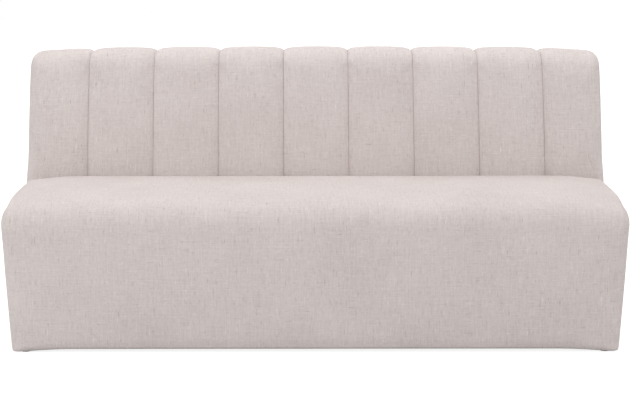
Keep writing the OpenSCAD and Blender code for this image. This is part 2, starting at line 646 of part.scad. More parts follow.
module front_padding() {
    top = foam_front_z - fit_gap;
    outer = [for (row = seat_grid(pad_stations, soft_in)) [for (p = row) [p[0], p[1], min(p[2], top)]]];
    inner = [for (r = [0:len(outer) - 1]) [for (c = [0:len(seat_columns) - 1])
        pad_base(pad_stations[r], seat_columns[c], outer[r][c][2])]];
    color(wadding) padded_form(outer, inner);
}
function leaning_side(depth, low_z, high_z) = [[seat_half_w(low_z) - depth, low_z],
    [seat_half_w(wide_z) - depth, wide_z], [seat_half_w(high_z) - depth, high_z]];
function back_side(depth) = [[back_half_w(joint_z) - depth, back_low_z - overrun],
    [back_half_w(joint_z) - depth, joint_z], [back_half_w(sofa_h) - depth, sofa_h]];
module seat_end_padding() {
    color(wadding) intersection() {
        along_x(frame_out_x, half_w) intersection() {
            polygon(base_outline);
            polygon(pad_outline);
        }
        along_y() polygon(concat(leaning_side(soft_in, 0, joint_z),
            [[frame_out_x, joint_z], [frame_out_x, 0]]));
    }
}
module left_end_padding() { mirror([1, 0, 0]) seat_end_padding(); }
module right_end_padding() { seat_end_padding(); }
module back_end_padding() {
    color(wadding) intersection() {
        along_x(frame_out_x, half_w) polygon(upright_outline(back_low_z, channel_t + fit_gap));
        along_y() polygon(concat(back_side(soft_in), [[frame_out_x, sofa_h], [frame_out_x, wide_z]]));
    }
}
module left_back_padding() { mirror([1, 0, 0]) back_end_padding(); }
module right_back_padding() { back_end_padding(); }

// Webbing and hessian stretched over the back of the frame
web_w = 50;
web_row_shares = [0.3, 0.5, 0.7];
web_column_n = 8;
module webbing_across() {
    low = lower_rail_z + back_rail_h;
    color(jute) for (s = web_row_shares) {
        z = low + s * (top_rail_z - low);
        along_x(-frame_out_x, frame_out_x) polygon([
            [face_line(z - web_w / 2, channel_t + hessian_t + web_t), z - web_w / 2],
            [face_line(z + web_w / 2, channel_t + hessian_t + web_t), z + web_w / 2],
            [face_line(z + web_w / 2, back_in), z + web_w / 2],
            [face_line(z - web_w / 2, back_in), z - web_w / 2]]);
    }
}
module face_sheet(from_x, to_x, low_z, high_z, depth, thick) {
    along_x(from_x, to_x) polygon([[face_line(low_z, depth), low_z], [face_line(high_z, depth), high_z],
        [face_line(high_z, depth + thick), high_z], [face_line(low_z, depth + thick), low_z]]);
}
web_column_pitch = 2 * frame_in_x / web_column_n;
module webbing_upright() {
    color(jute) for (i = [0:web_column_n - 1]) {
        x = (i - (web_column_n - 1) / 2) * web_column_pitch;
        face_sheet(x - web_w / 2, x + web_w / 2, lower_rail_z, frame_corner_z,
            channel_t + hessian_t, web_t);
    }
}
module back_hessian() {
    color(jute) face_sheet(-frame_out_x, frame_out_x, lower_rail_z, frame_corner_z, channel_t, hessian_t);
}

// Covers
module seat_cover() {
    color(linen) padded_form(seat_grid(seat_stations, 0), seat_grid(seat_stations, fabric_t));
}
module seat_end_cover() {
    color(linen) intersection() {
        along_x(frame_out_x, half_w) polygon(base_outline);
        along_y() polygon(concat(leaning_side(0, 0, joint_z), [[half_w - fabric_t, joint_z]],
            [[half_w - fabric_t, wide_z], [seat_half_w(0) - fabric_t, 0]]));
    }
}
module left_end_cover() { mirror([1, 0, 0]) seat_end_cover(); }
module right_end_cover() { seat_end_cover(); }
module back_end_cover() {
    inside = back_side(fabric_t);
    color(linen) intersection() {
        along_x(frame_out_x, half_w) polygon(back_outline);
        along_y() polygon(concat(back_side(0), [inside[2], inside[1], inside[0]]));
    }
}
module left_back_end_cover() { mirror([1, 0, 0]) back_end_cover(); }
module right_back_end_cover() { back_end_cover(); }
module outside_back_cover() {
    slope = cos(rear_angle);
    hem = [for (s = hem_shares) let (x = (2 * s - 1) * seat_half_w(hem_low))
        [x, hem_z(seat_half_w(0) - abs(x)) / slope]];
    top_w = back_half_w(rear_end_z);
    side = [[half_w, wide_z / slope], [back_half_w(joint_z), wide_z / slope],
        [back_half_w(joint_z), joint_z / slope], [top_w, (rear_end_z - rear_roll) / slope],
        [top_w - rear_roll, (rear_end_z - fit_gap) / slope]];
    color(linen) translate([0, rear_line(0), 0]) rotate([90 - rear_angle, 0, 0]) linear_extrude(fabric_t)
        polygon(concat(hem, side, [for (i = [len(side) - 1:-1:0]) [-side[i][0], side[i][1]]]));
}
module dust_cover() {
    front = front_line(frame_z, front_pad_t);
    color(black_felt) difference() {
        translate([-frame_out_x, front, frame_z - dust_cover_t])
            cube([2 * frame_out_x, rear_line(frame_z, rear_in) - front, dust_cover_t]);
        glide_screw_holes();
    }
}

// Channels of the back
module channel_filling(i) {
    if (i == 1 || i == CHANNEL_N) {
        outer = [for (s = back_stations) [for (c = end_columns) end_point(s, c, soft_in)]];
        inner = [for (r = [0:len(outer) - 1]) [for (p = outer[r]) on_base(p, back_stations[r])]];
        mirror([i == 1 ? 1 : 0, 0, 0]) padded_form(outer, inner);
    } else {
        outer = [for (s = back_stations) [for (c = seam_shares) middle_point(s, c, soft_in)]];
        inner = [for (r = [0:len(outer) - 1]) [for (p = outer[r]) on_base(p, back_stations[r])]];
        translate([(i - (CHANNEL_N + 1) / 2) * channel_pitch, 0, 0]) padded_form(outer, inner);
    }
}
module channel_cover(i) {
    if (i == 1 || i == CHANNEL_N) {
        outer = [for (s = back_stations) [for (c = end_columns) end_point(s, c, 0)]];
        inner = [for (s = back_stations) [for (c = end_columns) end_point(s, c, fabric_t)]];
        mirror([i == 1 ? 1 : 0, 0, 0]) padded_form(outer, inner);
    } else {
        outer = [for (s = back_stations) [for (c = seam_shares) middle_point(s, c, 0)]];
        inner = [for (s = back_stations) [for (c = seam_shares) middle_point(s, c, fabric_t)]];
        translate([(i - (CHANNEL_N + 1) / 2) * channel_pitch, 0, 0]) padded_form(outer, inner);
    }
}

// Feet
module glide() {
    difference() {
        cylinder(h = glide_h, r1 = glide_r, r2 = glide_top_share * glide_r);
        translate([0, 0, -overrun]) cylinder(h = glide_h + 2 * overrun, r = glide_screw_d / 2 + pilot_gap);
        translate([0, 0, -overrun]) cylinder(h = glide_recess + overrun, r = glide_head_r + pilot_gap);
    }
}
module glides_at(x, ys) {
    color(glide_grey) both_sides() for (y = ys) translate([x, y, 0]) glide();
}
module corner_glides() { glides_at(corner_glide_x, glide_ys); }
module middle_glides() { glides_at(middle_frame_x, middle_glide_ys); }
module glide_screws() {
    color(steel) both_sides() for (p = glide_places)
        translate([p[0], p[1], glide_recess - glide_head_h]) {
            cylinder(h = glide_head_h, r = glide_head_r);
            cylinder(h = glide_head_h + glide_screw_l, r = glide_screw_d / 2);
        }
}

left_end_frame();
right_end_frame();
left_middle_frame();
right_middle_frame();
front_spring_rail();
rear_spring_rail();
front_bottom_rail();
rear_bottom_rail();
back_top_rail();
back_lower_rail();
corner_blocks();
frame_screws();
front_board();
seat_springs();
spring_clips();
spring_tie_wires();
seat_felt();
seat_foam();
front_padding();
left_end_padding();
right_end_padding();
left_back_padding();
right_back_padding();
webbing_across();
webbing_upright();
back_hessian();
seat_cover();
left_end_cover();
right_end_cover();
left_back_end_cover();
right_back_end_cover();
outside_back_cover();
dust_cover();
corner_glides();
middle_glides();
glide_screws();
for (i = [1:CHANNEL_N]) {
    color(wadding) channel_filling(i);
    color(linen) channel_cover(i);
}
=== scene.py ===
# %% [markdown]
# # An armless sofa with a channelled back
# The real sofa is a plywood and pine frame with zigzag springs under a foam seat. One pale
# linen cover runs over the seat and down to the floor, and nine upright channels pad the back.
# The CAD model gives every hidden part its place, and this lesson dresses it: each padded
# piece gets a finer form, its seams and its cloth, and each hidden part gets its finish.

# %% Load the frame
import json
import math
from functools import partial

import bpy
import numpy as np
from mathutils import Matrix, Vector


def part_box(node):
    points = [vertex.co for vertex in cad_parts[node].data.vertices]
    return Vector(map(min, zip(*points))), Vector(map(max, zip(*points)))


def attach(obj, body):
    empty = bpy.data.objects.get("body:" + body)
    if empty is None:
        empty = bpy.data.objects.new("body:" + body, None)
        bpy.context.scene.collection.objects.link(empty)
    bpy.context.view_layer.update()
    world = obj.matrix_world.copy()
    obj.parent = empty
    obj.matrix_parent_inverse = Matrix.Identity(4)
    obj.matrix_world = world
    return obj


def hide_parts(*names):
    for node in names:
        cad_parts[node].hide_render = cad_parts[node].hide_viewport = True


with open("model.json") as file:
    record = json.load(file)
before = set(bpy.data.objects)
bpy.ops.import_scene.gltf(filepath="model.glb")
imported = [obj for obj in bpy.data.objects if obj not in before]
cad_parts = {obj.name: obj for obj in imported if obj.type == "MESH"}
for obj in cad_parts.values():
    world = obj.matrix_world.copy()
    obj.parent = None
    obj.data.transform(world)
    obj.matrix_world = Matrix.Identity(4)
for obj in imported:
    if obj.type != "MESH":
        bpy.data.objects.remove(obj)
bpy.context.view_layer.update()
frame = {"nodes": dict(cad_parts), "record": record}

# %% [markdown]
# ## The lines of the sofa
# A side view holds most of this sofa: a front that leans in a little, a rounded nose, an almost
# level seat, and a back that leans back. The same lines as in the CAD source are written here
# once, in metres, and every padded piece is laid on them, so cover and frame can't drift apart.

# %% Sizes of the sofa
HALF_W, SOFA_D, SOFA_H = 0.965, 0.800, 0.878
SEAT_H, BACK_D = 0.470, 0.220
WIDE_Z = SEAT_H - 0.068
END_LEAN, FRONT_LEAN = 0.032, 0.014
SHOULDER_R, NOSE_R, CORNER_R, HEM_CORNER_R = 0.018, 0.080, 0.036, 0.026
SEAT_FALL, END_FALL, END_FALL_RUN = 0.006, 0.012, 0.160
JOINT_DROP = 0.004
BACK_LEAN, REAR_LEAN = 0.070, 0.070
BACK_END_INSET, BACK_END_LEAN, BACK_END_R = 0.001, 0.012, 0.036
TOP_FRONT_R, TOP_REAR_R = 0.058, 0.018
CHANNEL_N, CHANNEL_PITCH, GROOVE_D = 9, 0.1124 * 2 * HALF_W, 0.012
CHANNEL_T, CHANNEL_TOP_T = 0.060, 0.032
FABRIC_T, FIT_GAP = 0.002, 0.0003
HEM_LOW, HEM_RISE, HEM_RUN = 0.002, 0.009, 0.215
FRONT_PAD_T, END_PAD_T = 0.020, 0.010
SEAM_TUCK = 0.002

# %% Lines of the side view
FRONT_Y, REAR_TOP_Y = -SOFA_D / 2, SOFA_D / 2
JOINT_Y, JOINT_Z = REAR_TOP_Y - BACK_D, SEAT_H - SEAT_FALL
FRONT_ANGLE = math.atan(FRONT_LEAN / WIDE_Z)
FACE_ANGLE = math.atan(BACK_LEAN / (SOFA_H - JOINT_Z))
REAR_ANGLE = math.atan(REAR_LEAN / SOFA_H)
FRONT_N = (-math.cos(FRONT_ANGLE), -math.sin(FRONT_ANGLE))
FACE_N = (-math.cos(FACE_ANGLE), math.sin(FACE_ANGLE))
REAR_N = (math.cos(REAR_ANGLE), -math.sin(REAR_ANGLE))
NOSE_Y, NOSE_Z = FRONT_Y + NOSE_R, JOINT_Z - NOSE_R
NOSE_END_Z = NOSE_Z + NOSE_R * FRONT_N[1]
REAR_CREST_Y, REAR_CREST_Z = REAR_TOP_Y - TOP_REAR_R, SOFA_H - TOP_REAR_R
REAR_END_Z = REAR_CREST_Z + TOP_REAR_R * REAR_N[1]


def front_line(z, depth=0.0):
    """Y of the front at a height, or of a surface that lies deeper behind it."""
    return (NOSE_Y + NOSE_R * FRONT_N[0] + (NOSE_END_Z - z) * math.tan(FRONT_ANGLE)
            + depth / math.cos(FRONT_ANGLE))


def face_line(z, depth=0.0):
    """The same for the crowns of the channels."""
    return JOINT_Y + (z - JOINT_Z) * math.tan(FACE_ANGLE) + depth / math.cos(FACE_ANGLE)


def rear_line(z, depth=0.0):
    """The same for the outside back."""
    return (REAR_CREST_Y + TOP_REAR_R * REAR_N[0] - (REAR_END_Z - z) * math.tan(REAR_ANGLE)
            - depth / math.cos(REAR_ANGLE))


def seat_half_w(z):
    """Half the width of the base at a height: widest at the shoulder, narrower at the floor."""
    return HALF_W - END_LEAN * np.maximum(0, 1 - np.asarray(z) / WIDE_Z)


def back_half_w(z):
    """Half the width of the back at a height."""
    rise = np.maximum(0, (np.asarray(z) - JOINT_Z) / (SOFA_H - JOINT_Z))
    return HALF_W - BACK_END_INSET - BACK_END_LEAN * rise


def ease(share):
    """A slow start and a slow end between 0 and 1."""
    return (1 - np.cos(np.pi * np.clip(share, 0, 1))) / 2


def hem_z(from_corner):
    """Height of the hem, which rises a little between the corners."""
    return HEM_LOW + HEM_RISE * ease(np.asarray(from_corner) / HEM_RUN)


print("seat crown", SEAT_H, "front", round(front_line(0.0), 4), "rear", round(rear_line(0.0), 4))

# %% [markdown]
# ## The camera
# The photograph looks almost straight at the front from a little above. Matching the outline of
# the seat, the back and the eight seams between its channels to the solids gives how far away
# the camera stood, how high, and how long its lens was. The picture's middle is the lens's
# middle, so no shift.

# %% Camera
def in_scene(name, data):
    """A new object of the scene."""
    made = bpy.data.objects.new(name, data)
    bpy.context.scene.collection.objects.link(made)
    return made


PHOTO_W, SENSOR_W = 631, 36.0
CAMERA_AWAY, CAMERA_H, CAMERA_X = 5.377, 1.374, 0.0020
CAMERA_PITCH, CAMERA_ROLL = math.radians(9.461), math.radians(0.0675)
FOCAL_PX = 1806.7

camera = in_scene("camera", bpy.data.cameras.new("camera"))
bpy.context.scene.camera = camera
camera.data.sensor_width = SENSOR_W
camera.data.lens = FOCAL_PX * SENSOR_W / PHOTO_W
camera.location = (CAMERA_X, FRONT_Y - CAMERA_AWAY, CAMERA_H)
camera.rotation_euler = (math.pi / 2 - CAMERA_PITCH, CAMERA_ROLL, 0)
print("lens", round(camera.data.lens, 1), "mm")

# %% [markdown]
# ## Helpers for materials
# A finish is a small graph of nodes. These helpers keep each finish short: one makes a material
# with its shader, one adds a node and links what it is given, and one turns a colour as a screen
# shows it into the linear numbers that the shader wants.


# %% Material helpers
def rgb(r, g, b):
    """A colour of 0 to 255, as a screen shows it, as linear numbers."""
    return tuple(((c / 255 + 0.055) / 1.055) ** 2.4 for c in (r, g, b)) + (1.0,)


def add_node(tree, kind, settings=None, **inputs):
    """Adds a node and returns its outputs. An input is a number or another node's output."""
    made = tree.nodes.new(kind)
    for key, value in (settings or {}).items():
        setattr(made, key, value)
    for key, value in inputs.items():
        numbered = key[0] == "i" and key[1:].isdigit()
        socket = made.inputs[int(key[1:]) if numbered else key.replace("_", " ")]
        if isinstance(value, bpy.types.NodeSocket):
            tree.links.new(value, socket)
        else:
            socket.default_value = value
    return made.outputs


class Finish:
    """A material and its nodes, under construction."""

    def __init__(self, name, roughness=0.7, metallic=0.0, sheen=0.0):
        self.material = bpy.data.materials.new(name)
        self.material.use_nodes = True
        self.tree = self.material.node_tree
        self.shader = self.tree.nodes["Principled BSDF"]
        self.shader.inputs["Roughness"].default_value = roughness
        self.shader.inputs["Metallic"].default_value = metallic
        self.shader.inputs["Sheen Weight"].default_value = sheen

    def node(self, kind, settings=None, **inputs):
        return add_node(self.tree, "ShaderNode" + kind, settings, **inputs)

    def math(self, operation, a, b=0.0):
        return self.node("Math", {"operation": operation}, i0=a, i1=b)[0]

    def scaled(self, vector, scale, shift=(0, 0, 0)):
        return self.node("Mapping", Vector=vector, Scale=scale, Location=shift)[0]

    def noise(self, vector, scale, detail=2.0, roughness=0.5):
        return self.node("TexNoise", Vector=vector, Scale=scale, Detail=detail,
                         Roughness=roughness)["Fac"]

    def grains(self, per_metre, detail, roughness=0.5):
        """Noise on the piece with so many grains in a metre along x, y and z."""
        return self.noise(self.scaled(self.object_place(), per_metre), 1.0, detail, roughness)

    def between(self, factor, low, high, to_low=0.0, to_high=1.0):
        """Stretches a range of a value onto another, without going past it."""
        return self.node("MapRange", Value=factor, From_Min=low, From_Max=high,
                         To_Min=to_low, To_Max=to_high)[0]

    def mix(self, factor, a, b):
        """Mixes two colours."""
        return self.node("Mix", {"data_type": "RGBA"}, i0=factor, i6=a, i7=b)[2]

    def bump(self, height, strength, distance, under=None):
        below = {} if under is None else {"Normal": under}
        return self.node("Bump", Strength=strength, Distance=distance, Height=height, **below)[0]

    def object_place(self):
        """The place on the piece in metres, which keeps a pattern's real scale."""
        return self.node("TexCoord")["Object"]

    def wear(self, colour, normal, roughness=None):
        """Ends the graph in the shader."""
        for label, value in (("Base Color", colour), ("Normal", normal), ("Roughness", roughness)):
            if value is not None:
                self.tree.links.new(value, self.shader.inputs[label])
        return self.material


# %% [markdown]
# ## Linen
# The cover is a matte, plain-woven linen blend in a pale pinkish beige. Seen close, thick and
# thin yarns, called slubs, run down the cloth as short lighter and darker dashes, and a few run
# across. The pattern reads a UV map in metres that each padded piece carries, so the yarns
# follow the cloth over the nose and into the seams and keep one scale everywhere.

# %% Linen material
YARN_PITCH, YARN_L = 0.0013, 0.018
SLUB_W, SLUB_L, PALE_SHARE = 0.0044, 0.032, 0.75
PALE_FROM, PALE_FULL, DEEP_FROM, DEEP_FULL = 0.62, 0.76, 0.38, 0.24
STREAK_W, STREAK_L = 0.0055, 0.090
GRAIN_W, GRAIN_L, CLOUDS_PER_M = 0.0065, 0.0065 / 0.6, 5.0
YARN_TONE, STREAK_TONE, SLUB_TONE, GRAIN_TONE, CLOUD_TONE = 0.25, 0.22, 0.30, 0.14, 0.22
ACROSS_STREAK_SHARE, ACROSS_SLUB_SHARE = 0.8, 0.7
WEAVE_BUMP, YARN_BUMP = 0.0003, 0.0007
LINEN = rgb(215, 205, 202)
LINEN_DARK = rgb(172, 160, 156)
LINEN_LIGHT = rgb(246, 240, 238)
THREAD_SHARE = 0.86
CLOTH_MAP = "cloth"


def linen(name, tone=1.0):
    """The cover's cloth. tone below 1 is a darker thread of the same yarn."""
    f = Finish(name, roughness=0.92, sheen=0.12)
    f.shader.inputs["Sheen Roughness"].default_value = 0.45
    f.shader.inputs["Specular IOR Level"].default_value = 0.18
    cloth = f.node("UVMap", {"uv_map": CLOTH_MAP})[0]

    def marks(width, length, shift=(0, 0, 0), detail=2.0, roughness=0.5):
        """Soft marks of a width across the cloth and a length down it, in metres."""
        return f.noise(f.scaled(cloth, (1 / width, 1 / length, 1), shift), 1.0, detail, roughness)

    yarn_down = marks(YARN_PITCH, YARN_L, detail=1.0)
    yarn_across = marks(YARN_L, YARN_PITCH, (9, 2, 0), 1.0)
    slub_down = marks(SLUB_W, SLUB_L, roughness=0.55)
    slub_across = marks(SLUB_L, SLUB_W, (5, 17, 0), roughness=0.55)
    clouds = f.noise(f.scaled(cloth, (1, 1, 1), (3, 11, 0)), CLOUDS_PER_M, 3.0)
    tones = 0.0
    for pattern, strength in (
            (yarn_down, YARN_TONE), (yarn_across, YARN_TONE),
            (marks(STREAK_W, STREAK_L, (7, 1, 0)), STREAK_TONE),
            (marks(STREAK_L, STREAK_W, (2, 8, 0)), ACROSS_STREAK_SHARE * STREAK_TONE),
            (marks(GRAIN_W, GRAIN_L, (13, 4, 0)), GRAIN_TONE), (clouds, CLOUD_TONE)):
        tones = f.math("ADD", tones, f.math("MULTIPLY", f.math("SUBTRACT", pattern, 0.5), strength))
    for pattern, strength in ((slub_down, SLUB_TONE), (slub_across, ACROSS_SLUB_SHARE * SLUB_TONE)):
        pale, deep = f.between(pattern, PALE_FROM, PALE_FULL), f.between(pattern, DEEP_FROM, DEEP_FULL)
        flecks = f.math("SUBTRACT", f.math("MULTIPLY", pale, PALE_SHARE), deep)
        tones = f.math("ADD", tones, f.math("MULTIPLY", flecks, strength))
    colour = f.node("ValToRGB", Fac=f.math("ADD", tones, 0.5))[0]
    stops = colour.node.color_ramp.elements
    stops[0].position, stops[1].position = 0.0, 1.0
    middle = stops.new(0.5)
    for stop, shade in ((stops[0], LINEN_DARK), (middle, LINEN), (stops[2], LINEN_LIGHT)):
        stop.color = tuple(c * tone for c in shade[:3]) + (1.0,)
    waves = 2 * math.pi / YARN_PITCH
    x, y, _ = f.node("SeparateXYZ", Vector=f.scaled(cloth, (waves, waves, 1)))
    weave = f.bump(f.math("MULTIPLY", f.math("SINE", x), f.math("SINE", y)), 0.5, WEAVE_BUMP)
    yarns, slubs = f.math("ADD", yarn_down, yarn_across), f.math("ADD", slub_down, slub_across)
    return f.wear(colour, f.bump(f.math("ADD", yarns, slubs), 0.5, YARN_BUMP, under=weave))


COVER = linen("linen_cover")
THREAD = linen("sewing_thread", THREAD_SHARE)
print("linen yarns every", YARN_PITCH * 1000, "mm")

# %% [markdown]
# ## Padded pieces
# Each padded piece is a closed form between two grids of points: the outer one is the cloth and
# the inner one rests on the frame or the springs. A helper joins them with a rim, and gives the
# cloth a UV map in metres from the lengths along the grid, as if it had been cut flat.


# %% Padded form helper
def lengths_along(grid, axis):
    """How far along the grid each point lies, measured on the surface from the first row or column."""
    steps = np.linalg.norm(np.diff(grid, axis=axis), axis=2)
    first = np.zeros_like(np.take(steps, [0], axis=axis))
    return np.cumsum(np.concatenate([first, steps], axis=axis), axis=axis)


def cloth_coordinates(grid):
    """A flat place in metres for each point: across from the middle column, and along."""
    across = lengths_along(grid, 1)
    across = across - across[:, [across.shape[1] // 2]]
    along = lengths_along(grid, 0)
    return np.stack([across, np.broadcast_to(along[:, [along.shape[1] // 2]], across.shape)], axis=2)


def grid_faces(rows, cols):
    """The four-sided faces between the points of a grid."""
    at = np.arange(rows * cols).reshape(rows, cols)
    return np.stack([at[:-1, :-1], at[1:, :-1], at[1:, 1:], at[:-1, 1:]], axis=2).reshape(-1, 4)


def cloth_object(name, points, faces, flat, material):
    """An object of linked points with a smooth mesh, its cloth map and one material."""
    mesh = bpy.data.meshes.new(name)
    mesh.from_pydata(points.tolist(), [], faces.tolist())
    layer = mesh.uv_layers.new(name=CLOTH_MAP)
    corners = np.array([loop.vertex_index for loop in mesh.loops]) % len(flat)
    layer.data.foreach_set("uv", flat[corners].astype(np.float32).ravel())
    mesh.shade_smooth()
    mesh.materials.append(material)
    return in_scene(name, mesh)


def padded_form(name, outer, inner, shift=(0.0, 0.0)):
    """A closed mesh between an outer and an inner grid. Rows run along the cloth, columns across,
    and the outward side is where (down a row) x (along a column) points."""
    rows, cols = outer.shape[:2]
    count = rows * cols
    at = np.arange(count).reshape(rows, cols)
    quads = grid_faces(rows, cols)
    rim = np.concatenate([at[0], at[1:, -1], at[-1, -2::-1], at[-2:0:-1, 0]])
    following = np.roll(rim, -1)
    walls = np.stack([rim, following, following + count, rim + count], axis=1)
    faces = np.concatenate([quads, quads[:, ::-1] + count, walls])
    points = np.concatenate([outer.reshape(-1, 3), inner.reshape(-1, 3)])
    flat = cloth_coordinates(outer).reshape(-1, 2) + np.array(shift)
    piece = cloth_object(name, points, faces, flat, COVER)
    ends = np.array([edge.vertices[:] for edge in piece.data.edges])
    on_rim = np.isin(ends, np.concatenate([rim, rim + count])).all(axis=1)
    on_rim &= np.abs(ends[:, 0] - ends[:, 1]) != count
    sharp = piece.data.attributes.new("crease_edge", "FLOAT", "EDGE")
    sharp.data.foreach_set("value", on_rim.astype(np.float32))
    return piece


# %% [markdown]
# ## Cloth under pressure
# Foam pushes the cover out between its seams. Blender's Cloth does that with a pressure inside
# the form while the seams stay pinned. Gravity is off, the run is short and a cap keeps any
# point from moving too far, so that the piece stays in the space that the frame gives it.

# %% Cloth helper
CLOTH_FRAMES, CLOTH_QUALITY, CLOTH_KG, CLOTH_STIFFNESS, CLOTH_BENDING = 20, 5, 0.3, 15.0, 0.5


def places(mesh):
    """The points of a mesh, in rows of x, y and z."""
    found = np.empty(len(mesh.vertices) * 3, np.float32)
    mesh.vertices.foreach_get("co", found)
    return found.reshape(-1, 3)


def settle(piece, grid, pressure, cap, stiffness=CLOTH_STIFFNESS):
    """Inflates a padded form with cloth simulation, then keeps the result as its mesh."""
    mesh, rest = piece.data, places(piece.data)
    held = np.ones((2, *grid.shape[:2]), bool)  # the inner grid and the border of the outer one
    held[0, 1:-1, 1:-1] = False
    group = piece.vertex_groups.new(name="held")
    group.add(np.flatnonzero(held).tolist(), 1.0, "REPLACE")
    cloth = piece.modifiers.new("cloth", "CLOTH")
    settings = {
        "quality": CLOTH_QUALITY, "mass": CLOTH_KG, "vertex_group_mass": group.name,
        "tension_stiffness": stiffness, "compression_stiffness": stiffness,
        "shear_stiffness": stiffness / 2, "bending_stiffness": CLOTH_BENDING,
        "use_pressure": True, "uniform_pressure_force": pressure,
    }
    for key, value in settings.items():
        setattr(cloth.settings, key, value)
    cloth.settings.effector_weights.gravity = 0
    cloth.collision_settings.use_collision = False
    cloth.point_cache.frame_start, cloth.point_cache.frame_end = 1, CLOTH_FRAMES
    scene = bpy.context.scene
    for number in range(1, CLOTH_FRAMES + 1):
        scene.frame_set(number)
    shaped = piece.evaluated_get(bpy.context.evaluated_depsgraph_get()).to_mesh()
    moved = places(shaped) - rest
    far = np.linalg.norm(moved, axis=1, keepdims=True)
    moved *= cap * np.tanh(far / cap) / np.maximum(far, 1e-9)
    piece.modifiers.remove(cloth)
    piece.vertex_groups.remove(group)
    mesh.vertices.foreach_set("co", (rest + moved).ravel())
    mesh.update()
    scene.frame_set(1)
    longest, kept = (round(float(value) * 1000, 1) for value in (far.max(), np.abs(moved).max()))
    print(piece.name, "moved up to", longest, "mm, kept", kept)


def finish_pad(piece, replaced):
    """Smooths a padded piece once more, hangs it on the root body and hides the CAD parts it replaces.
    """
    smooth = piece.modifiers.new("smooth", "SUBSURF")
    smooth.levels = smooth.render_levels = 1
    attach(piece, "root")
    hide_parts(*replaced)


# %% [markdown]
# ## The seat
# One piece of cloth runs from the seam under the back, over the seat and the nose, and down to
# the hem, with foam under it. Its stations down the side view and its columns across follow the
# CAD form, only finer, with a quarter turn at each end where the cover rolls over to its seam.

# %% Stations of the seat
NOSE_SPARE = 0.002
NOSE_ROLL = NOSE_R - NOSE_SPARE
SEAT_CROWN_Y = (JOINT_Y + NOSE_Y) / 2
DECK_Z, SPRING_RISE = 0.343, 0.018
JOINT_EASE, FRONT_BLEND_FROM, HEM_FROM, HEM_SHARE = 0.03, 0.66, 0.9, 0.1
HEM_ROLL = 0.009


def seat_top_row(share):
    """Place, normal, end inset, end depth and hem share of one row on the top of the seat."""
    y = JOINT_Y + share * (NOSE_Y - JOINT_Y)
    fall = SEAT_FALL * ((y - SEAT_CROWN_Y) / (JOINT_Y - SEAT_CROWN_Y)) ** 2
    z = SEAT_H - fall - JOINT_DROP * (1 - ease(share / JOINT_EASE))
    near = ease((share - FRONT_BLEND_FROM) / (1 - FRONT_BLEND_FROM))
    deep = z - END_FALL - WIDE_Z
    return (y, z, 0, 1, SHOULDER_R + near * (CORNER_R - SHOULDER_R),
            deep + near * (NOSE_ROLL - END_FALL - deep), 0)


def seat_nose_row(share):
    """The same for one row round the nose."""
    turn = math.pi / 2 + share * (math.pi / 2 + FRONT_ANGLE)
    n = (math.cos(turn), math.sin(turn))
    return (NOSE_Y + NOSE_R * n[0], NOSE_Z + NOSE_R * n[1], *n, CORNER_R,
            NOSE_ROLL - END_FALL * max(0, n[1]), 0)


def seat_front_row(share):
    """The same for one row on the front, down to the hem."""
    z = NOSE_END_Z + share * (HEM_LOW - NOSE_END_Z)
    turned = max(0.0, 1 - (z - HEM_LOW) / HEM_ROLL)
    y = front_line(z) + HEM_ROLL * (1 - math.sqrt(1 - turned ** 2))
    return (y, z, *FRONT_N, CORNER_R + share * (HEM_CORNER_R - CORNER_R),
            NOSE_ROLL + share * (HEM_CORNER_R - NOSE_ROLL), ease((share - HEM_FROM) / HEM_SHARE))


JOINT_SHARES, TOP_FROM, TOP_TO, TOP_ROWS = [0, 0.006, 0.014, 0.024, 0.036, 0.05], 0.07, 0.975, 34
NOSE_ROWS, FRONT_FROM, FRONT_GAP, FRONT_ROWS = 16, 0.03, 0.012, 29
HEM_ROWS, HEM_CROWDING = 5, 1.5
top_shares = np.concatenate([JOINT_SHARES, np.linspace(TOP_FROM, TOP_TO, TOP_ROWS)])
nose_shares = np.linspace(0, 1, NOSE_ROWS)
hem_from = 1 - HEM_ROLL / (NOSE_END_Z - HEM_LOW)
hem_shares = 1 - (1 - hem_from) * np.linspace(1, 0, HEM_ROWS) ** HEM_CROWDING
front_shares = np.concatenate([np.linspace(FRONT_FROM, hem_from - FRONT_GAP, FRONT_ROWS), hem_shares])
seat_rows = np.array([seat_top_row(s) for s in top_shares] + [seat_nose_row(s) for s in nose_shares]
                     + [seat_front_row(s) for s in front_shares])

# %% Points of the seat
ROLL_STEPS, HALF_STEPS, EVEN_TO, CLOSE_SHARES = 10, 34, 0.90, [0.925, 0.95, 0.975, 1.0]
SEAM_TURN = math.radians(89)  # only the last column of a roll turns further than this
POINT_GAP = 0.0003  # keeps points apart where the back stops them, which the cloth needs
roll_turns = np.radians(np.linspace(90 / ROLL_STEPS, 90, ROLL_STEPS))
half_shares = np.concatenate([np.linspace(0, EVEN_TO, HALF_STEPS), CLOSE_SHARES])
across_shares = np.concatenate([-half_shares[:0:-1], half_shares])
seat_flat = np.concatenate([np.full(ROLL_STEPS, -1), across_shares, np.full(ROLL_STEPS, 1)])
seat_turn = np.concatenate([roll_turns[::-1], np.zeros(len(across_shares)), roll_turns])


